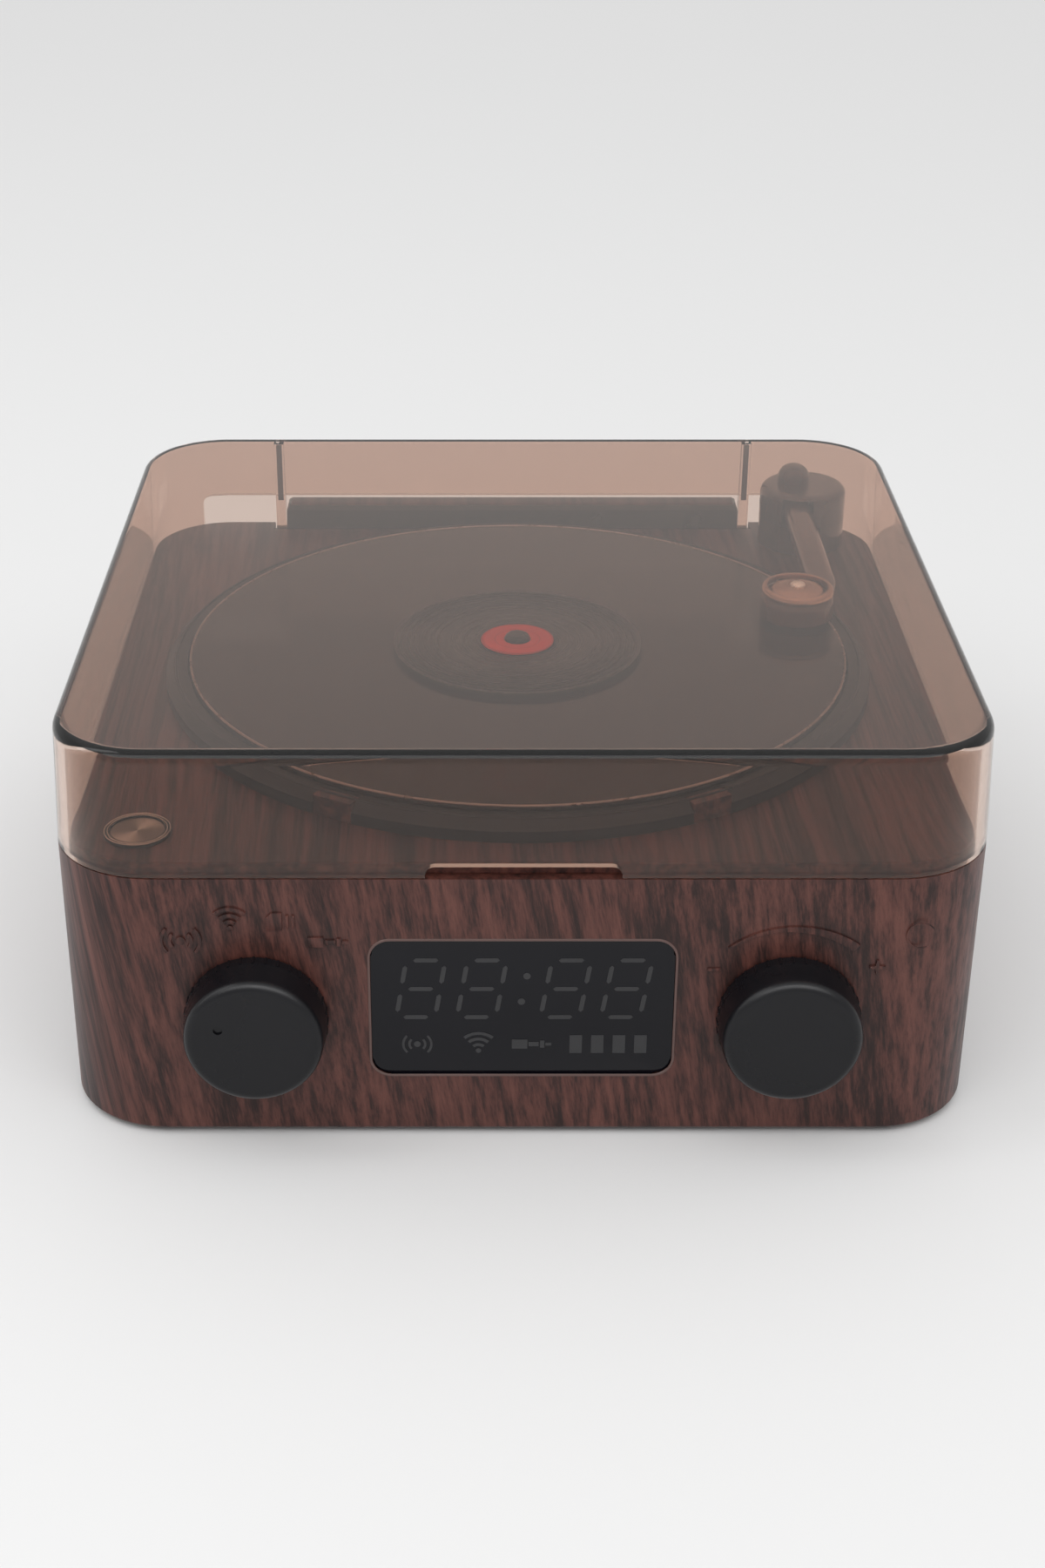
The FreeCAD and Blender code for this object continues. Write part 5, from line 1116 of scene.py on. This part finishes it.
@dataclass
class Tonearm:
    """Turning post, arm and cartridge head."""

    tip_stands: float = 0.9
    tip_radius: float = 1.9
    tip_seat: float = 0.4
    tip_steps: int = 48
    bell_rim: float = 0.5
    bell_lip: tuple[float, ...] = (-0.4, -0.2, 0.1, 0.35)
    collar_radius: float = 8.95
    collar_rise: float = 1.5
    collar_lean: float = 1.0
    collar_wall: float = 0.5
    collar_steps: int = 8
    collar_sunk: float = 0.05
    collar_lip: float = 0.1
    collar_foot: float = 0.3

    def head(self) -> None:
        """Turn the polished bell of the head, its tip, and the collar round them; the tip's near-white metal
        holds a painted highlight.
        """
        low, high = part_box("headshell_dome")
        radius, height = (high.x - low.x) / 2 / MM, (high.z - low.z) / MM
        centre = Vector(((low.x + high.x) / 2, (low.y + high.y) / 2, low.z))
        shoulder = (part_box("headshell")[1].z - low.z) / MM
        rise = height - self.tip_stands
        rim = self.bell_rim
        seat, lip_low, lip_high, crown = (shoulder + level for level in self.bell_lip)
        profile: list[Point] = [(0, 0), (radius - rim, 0), (radius - rim, seat), (radius, lip_low)]
        profile += [(radius, lip_high), (radius - rim / 2, crown)]
        profile += quarter(radius - rim / 2, crown, rise)
        made = mesh_piece("head_bell", lathe(profile, centre), HEAD_BELL, "tonearm")
        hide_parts("headshell_dome")
        tip = centre + Vector((0, 0, (rise - self.tip_seat) * MM))
        bead: list[Point] = [(0, 0), (self.tip_radius, 0), (self.tip_radius, self.tip_seat)]
        bead += quarter(self.tip_radius, self.tip_seat, self.tip_seat + self.tip_stands)
        # The chrome tip, made near-white as a painted highlight.
        turned = lathe(bead, tip, steps=self.tip_steps)
        mesh_piece("head_tip", turned, TIP_CHROME_WITH_GLINT, "tonearm")
        outer, wall, steps = self.collar_radius, self.collar_wall, self.collar_steps
        low_edge, top = shoulder - self.collar_sunk, shoulder + self.collar_rise
        inner = outer - self.collar_lean - wall
        ring: list[Point] = [(outer - 2 * wall, low_edge), (outer, low_edge)]
        ring += [
            (outer - self.collar_lean * (1 - math.cos(turn)), low_edge + (top - low_edge) * math.sin(turn))
            for turn in (math.pi / 2 * step / steps for step in range(1, steps + 1))]
        ring += [(inner, top - self.collar_lip), (inner, low_edge + self.collar_foot)]
        collar = [*ring, ring[0]]
        mesh_piece("head_collar", lathe(collar, centre), HEAD_BELL, "tonearm")

    def build(self) -> None:
        """Dress the post and the arm, and make the head."""
        dress(BROWN_GLOSS, "tonearm_base", "tonearm_cap", "tonearm_button")
        dress(SCREW_STEEL, "tonearm_clip", "tonearm_pin")
        dress(ARM_BROWN, "tonearm_tube", "headshell")
        self.head()


@dataclass
class Controls:
    """The two front knobs with their switch and potentiometer."""

    def build(self) -> None:
        """Dress the controls."""
        dress(KNOB_BLACK, "mode_knob", "volume_knob")
        dress(SCREW_STEEL, "mode_shaft", "volume_shaft", "control_nuts")
        dress(CASE_STEEL, "mode_switch", "volume_pot")


@dataclass
class Display:
    """Clock window with its unlit segments."""

    bevel: float = 0.5
    corner: float = 4.3
    corner_steps: int = 8
    print_thick: float = 0.10
    print_sink: float = 0.02
    lean: float = math.radians(9)
    digit_columns: tuple[float, ...] = (-21.7, -8.7, 9.2, 22.2)
    digit_middle: float = 4.8
    digit_width: float = 8.3
    digit_height: float = 14.3
    bar_width: float = 1.0
    across: float = 5.4
    upright: float = 4.5
    rim: float = 0.30
    rim_out: float = 0.6
    rim_up: float = 0.7
    rim_sides: int = 8
    colon_radius: float = 0.8
    colon_shift: float = 0.35
    colon_share: float = 0.9
    status_line: float = -9.3
    status_marks: tuple[tuple[Glyph, float, float], ...] = (
        (Glyph.RADIO, -22.6, 3.1), (Glyph.WIRELESS, -9.4, 4.0), (Glyph.PLUG, 2.0, 4.2))
    battery_first: float = 11.6
    battery_step: float = 4.65
    battery_bar: tuple[float, float] = (2.7, 4.6)
    battery_count: int = 4

    @property
    def face(self) -> Vector:
        """Middle of the window's front, where the print starts."""
        spot = middle("display_window")
        spot.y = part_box("display_window")[0].y + self.print_sink * MM
        return spot

    def window(self) -> None:
        """Make the glossy front with a cut edge."""
        low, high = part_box("display_window")
        width, height = (high.x - low.x) / MM, (high.z - low.z) / MM
        thick = (high.y - low.y) / MM
        corner, steps = self.corner, self.corner_steps
        outline: list[Point] = []
        for sx, sy, start in ((1, 1, 0), (-1, 1, 90), (-1, -1, 180), (1, -1, 270)):
            cx, cy = sx * (width / 2 - corner), sy * (height / 2 - corner)
            for step in range(steps + 1):
                angle = math.radians(start + 90 * step / steps)
                outline.append((cx + corner * math.cos(angle), cy + corner * math.sin(angle)))
        centre = middle("display_window")
        centre.y = high.y
        shape = slabs([outline], centre, Facing.FRONT, thick, self.bevel)
        made = mesh_piece("window_panel", shape, GLOSS_BLACK, "cabinet")
        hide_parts("display_window")
        mesh_piece("window_seam", self.seam(outline, centre), SEAM_BROWN, "cabinet")

    def seam(self, outline: list[Point], centre: Vector) -> bmesh.types.BMesh:
        """The rolled edge of the wood foil round the window.

        Args:
            outline: Outline of the window.
            centre: Its middle.

        Returns:
            A bead that follows the outline, just outside it, on the wall's face.
        """
        bm = bmesh.new()
        spot = Vector((centre.x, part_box("body_shell")[0].y, centre.z))
        place = Matrix.Translation(spot) @ Facing.FRONT.turn
        sides = self.rim_sides
        rings = []
        for number, (x, y) in enumerate(outline):
            before, after = Vector(outline[number - 1]), Vector(outline[(number + 1) % len(outline)])
            along = (after - before).normalized()
            out = Vector((along.y, -along.x))
            section = []
            for k in range(sides):
                turn = math.tau * k / sides
                reach = self.rim_out + math.cos(turn)
                rise = self.rim * self.rim_up * math.sin(turn)
                point = Vector((x + out.x * self.rim * reach, y + out.y * self.rim * reach, rise))
                section.append(bm.verts.new(place @ (point * MM)))
            rings.append(section)
        for number, ring in enumerate(rings):
            following = rings[(number + 1) % len(rings)]
            for k in range(sides):
                after = (k + 1) % sides
                bm.faces.new((ring[k], ring[after], following[after], following[k]))
        return bm

    def segment(self, wide: bool) -> list[Point]:
        """One segment with pointed ends, lying along X."""
        half, reach = self.bar_width / 2, (self.across if wide else self.upright) / 2
        return [(-reach, 0), (-reach + half, -half), (reach - half, -half), (reach, 0),
                (reach - half, half), (-reach + half, half)]

    def digits(self) -> None:
        """Four leaning seven-segment digits, their colon, and the status row."""
        loops: list[list[Point]] = []
        half_w, half_h = self.digit_width / 2, self.digit_height / 2
        tilt = math.tan(self.lean)
        for column in self.digit_columns:
            parts: list[list[Point]] = []
            for level in (-half_h, 0.0, half_h):
                parts += moved([self.segment(True)], 0, level)
            for side in (-half_w, half_w):
                for level in (-half_h / 2, half_h / 2):
                    parts += moved([self.segment(False)], side, level, turn=math.pi / 2)
            loops += [[(column + x + y * tilt, self.digit_middle + y) for x, y in part] for part in parts]
        for level in (-half_h / 2, half_h / 2):
            loops.append(disc(
                self.colon_radius, self.colon_shift + level * tilt,
                self.digit_middle + level * self.colon_share))
        for glyph, x, size in self.status_marks:
            loops += moved(glyph.loops, x, self.status_line, size)
        self.lay("display_segments", loops)

    def lay(self, name: str, loops: list[list[Point]]) -> None:
        """Lay flat outlines on the window."""
        shape = slabs(loops, self.face, Facing.FRONT, self.print_thick)
        mesh_piece(name, shape, DIGIT_GREY, "cabinet")

    def battery_bars(self) -> None:
        """Equal bars of the charge gauge."""
        bar = slabs([rectangle(*self.battery_bar)], Vector((0, 0, 0)), Facing.UP, self.print_thick)
        place = Matrix.Translation(self.face) @ Facing.FRONT.turn @ Matrix.Translation(
            Vector((self.battery_first * MM, self.status_line * MM, 0)))
        step = Vector((self.battery_step * MM, 0, 0))
        bars = in_row("charge_bars", bar, DIGIT_GREY, self.battery_count, step, place)
        mesh_piece("charge_bars", bars, DIGIT_GREY, "cabinet")

    def build(self) -> None:
        """Make the window and its print, and dress what is behind."""
        dress(CASE_BLACK, "display_frame")
        dress(MODULE_GREY, "led_module")
        dress(BOARD, "display_board")
        dress(SCREW_STEEL, "display_screws")
        self.window()
        self.digits()
        self.battery_bars()


@dataclass
class PushButton:
    """Round key in the front left corner of the deck."""

    line_first: float = 6.35
    line_last: float = 7.0
    line_bead: float = 0.12

    def build(self) -> None:
        """Dress the key, its ring, spring and switch, and lay two bright metal lines on the ring as a painted
        highlight of its edges.
        """
        dress(CHARCOAL, "button_ring")
        # The cap's metal carries a painted fan of highlight in its colour.
        dress(SpunMetal("painted_fan_cap", tuple(middle("button_cap"))), "button_cap")
        dress(SCREW_STEEL, "button_spring")
        dress(CASE_BLACK, "button_switch")
        dress(MODULE_GREY, "switch_plunger")
        dress(BOARD, "button_board")
        lines = circles(
            "button_lines", RING_HIGHLIGHT_METAL, 2, self.line_first * MM, self.line_last * MM, self.line_bead * MM,
            box_place("button_ring"))
        mesh_piece("button_lines", lines, RING_HIGHLIGHT_METAL, "cabinet")


@dataclass
class Inside:
    """Speaker, boards, sockets and cell."""

    def build(self) -> None:
        """Dress them."""
        dress(CASE_STEEL, "speaker_frame", "charge_socket", "card_slot")
        dress(CONE_PAPER, "speaker_cone")
        dress(MAGNET_STEEL, "speaker_magnet")
        dress(SCREW_STEEL, "speaker_screws", "board_screws")
        dress(BOARD, "main_board")
        dress(CASE_BLACK, "audio_jack", "port_plate", "battery_cradle")
        dress(CELL_SLEEVE, "battery_cell")


# ---------------------------------------------------------------- studio
@dataclass(frozen=True)
class Lamp:
    """A soft rectangular lamp, in metres and watts; some light only glossy surfaces."""

    name: str
    at: tuple[float, float, float]
    size: tuple[float, float]
    power: float
    on_matt: bool = True


@dataclass
class Studio:
    """Pale floor, soft light and the camera."""

    floor_size: float = 30.0
    floor_colour: Colour = (0.80, 0.80, 0.80)
    floor_cloud: float = 0.995
    lamps: tuple[Lamp, ...] = (
        Lamp("front_soft", (0, -0.75, 1.0), (2.2, 0.5), 5.0),
        Lamp("side_soft", (-0.95, -0.2, 0.8), (0.3, 1.2), 2.0),
        Lamp("front_gleam", (0, -0.75, 1.0), (2.2, 0.16), 20.0, on_matt=False))
    aim: tuple[float, float, float] = (0, 0, 0.05)
    sky: float = 0.68
    zenith: float = 1.0
    sky_edges: tuple[float, float] = (0.42, 0.82)
    camera_at: tuple[float, float, float] = (-0.0095, -0.5137, 0.3066)
    pitch: float = math.radians(62.22)
    lens: float = 53.23
    shift: float = 0.0284

    def floor(self) -> None:
        """Lay the floor."""
        bm = bmesh.new()
        bmesh.ops.create_grid(bm, x_segments=4, y_segments=4, size=self.floor_size / 2)
        data = bpy.data.meshes.new("floor")
        bm.to_mesh(data)
        bm.free()
        shader = Shader("floor_card")
        cloud = shader.noise(shader.place(), 8, 3, 0.5)
        grey = self.floor_colour
        shader.surface(
            Base_Color=shader.mix(cloud, shade(grey, self.floor_cloud), grey), Roughness=0.85,
            Specular_IOR_Level=0.1)
        data.materials.append(shader.material)
        made = bpy.data.objects.new("floor", data)
        bpy.context.scene.collection.objects.link(made)

    def hang(self, lamp: Lamp) -> None:
        """Hang a lamp, aimed at the object and hidden from what is seen through clear plastic."""
        data = bpy.data.lights.new(lamp.name, "AREA")
        data.shape = "RECTANGLE"
        data.size, data.size_y = lamp.size
        data.energy = lamp.power
        made = bpy.data.objects.new(lamp.name, data)
        made.location = lamp.at
        made.visible_transmission = False
        made.visible_diffuse = lamp.on_matt
        made.rotation_euler = (Vector(self.aim) - Vector(lamp.at)).to_track_quat("-Z", "Y").to_euler()
        bpy.context.scene.collection.objects.link(made)

    def light(self) -> None:
        """Set the pale sky, brighter overhead, and the lamps."""
        world = bpy.data.worlds.new("studio_sky")
        world.use_nodes = True
        tree = world.node_tree
        background = tree.nodes["Background"]
        direction = tree.nodes.new("ShaderNodeTexCoord")
        axes = tree.nodes.new("ShaderNodeSeparateXYZ")
        rise = tree.nodes.new("ShaderNodeMapRange")
        rise.interpolation_type = "SMOOTHSTEP"
        low, high = self.sky_edges
        edges = {"From Min": low, "From Max": high, "To Min": self.sky, "To Max": self.zenith}
        for name, value in edges.items():
            rise.inputs[name].default_value = value
        tree.links.new(direction.outputs["Generated"], axes.inputs[0])
        tree.links.new(axes.outputs["Z"], rise.inputs["Value"])
        tree.links.new(rise.outputs[0], background.inputs["Strength"])
        background.inputs["Color"].default_value = (1.0, 1.0, 1.0, 1.0)
        bpy.context.scene.world = world
        for lamp in self.lamps:
            self.hang(lamp)

    def camera(self) -> None:
        """Set the camera."""
        data = bpy.data.cameras.new("camera")
        data.lens, data.shift_x = self.lens, self.shift
        data.clip_start = 0.01
        made = bpy.data.objects.new("camera", data)
        made.location = self.camera_at
        made.rotation_euler = (self.pitch, 0, 0)
        bpy.context.scene.collection.objects.link(made)
        bpy.context.scene.camera = made

    def build(self) -> None:
        """Set the scene and the tone curve."""
        self.camera()
        self.floor()
        self.light()
        bpy.context.scene.view_settings.view_transform = "Standard"


def main() -> None:
    """Build every sub-assembly."""
    logging.basicConfig(level=logging.INFO, format="%(name)s: %(message)s")
    for assembly in (Studio(), Cabinet(), Deck(), Lid(), Turntable(), Tonearm(), Controls(), Display(),
                     PushButton(), Inside()):
        assembly.build()
        log.info("%s done", type(assembly).__name__)


if __name__ == "__main__":
    main()
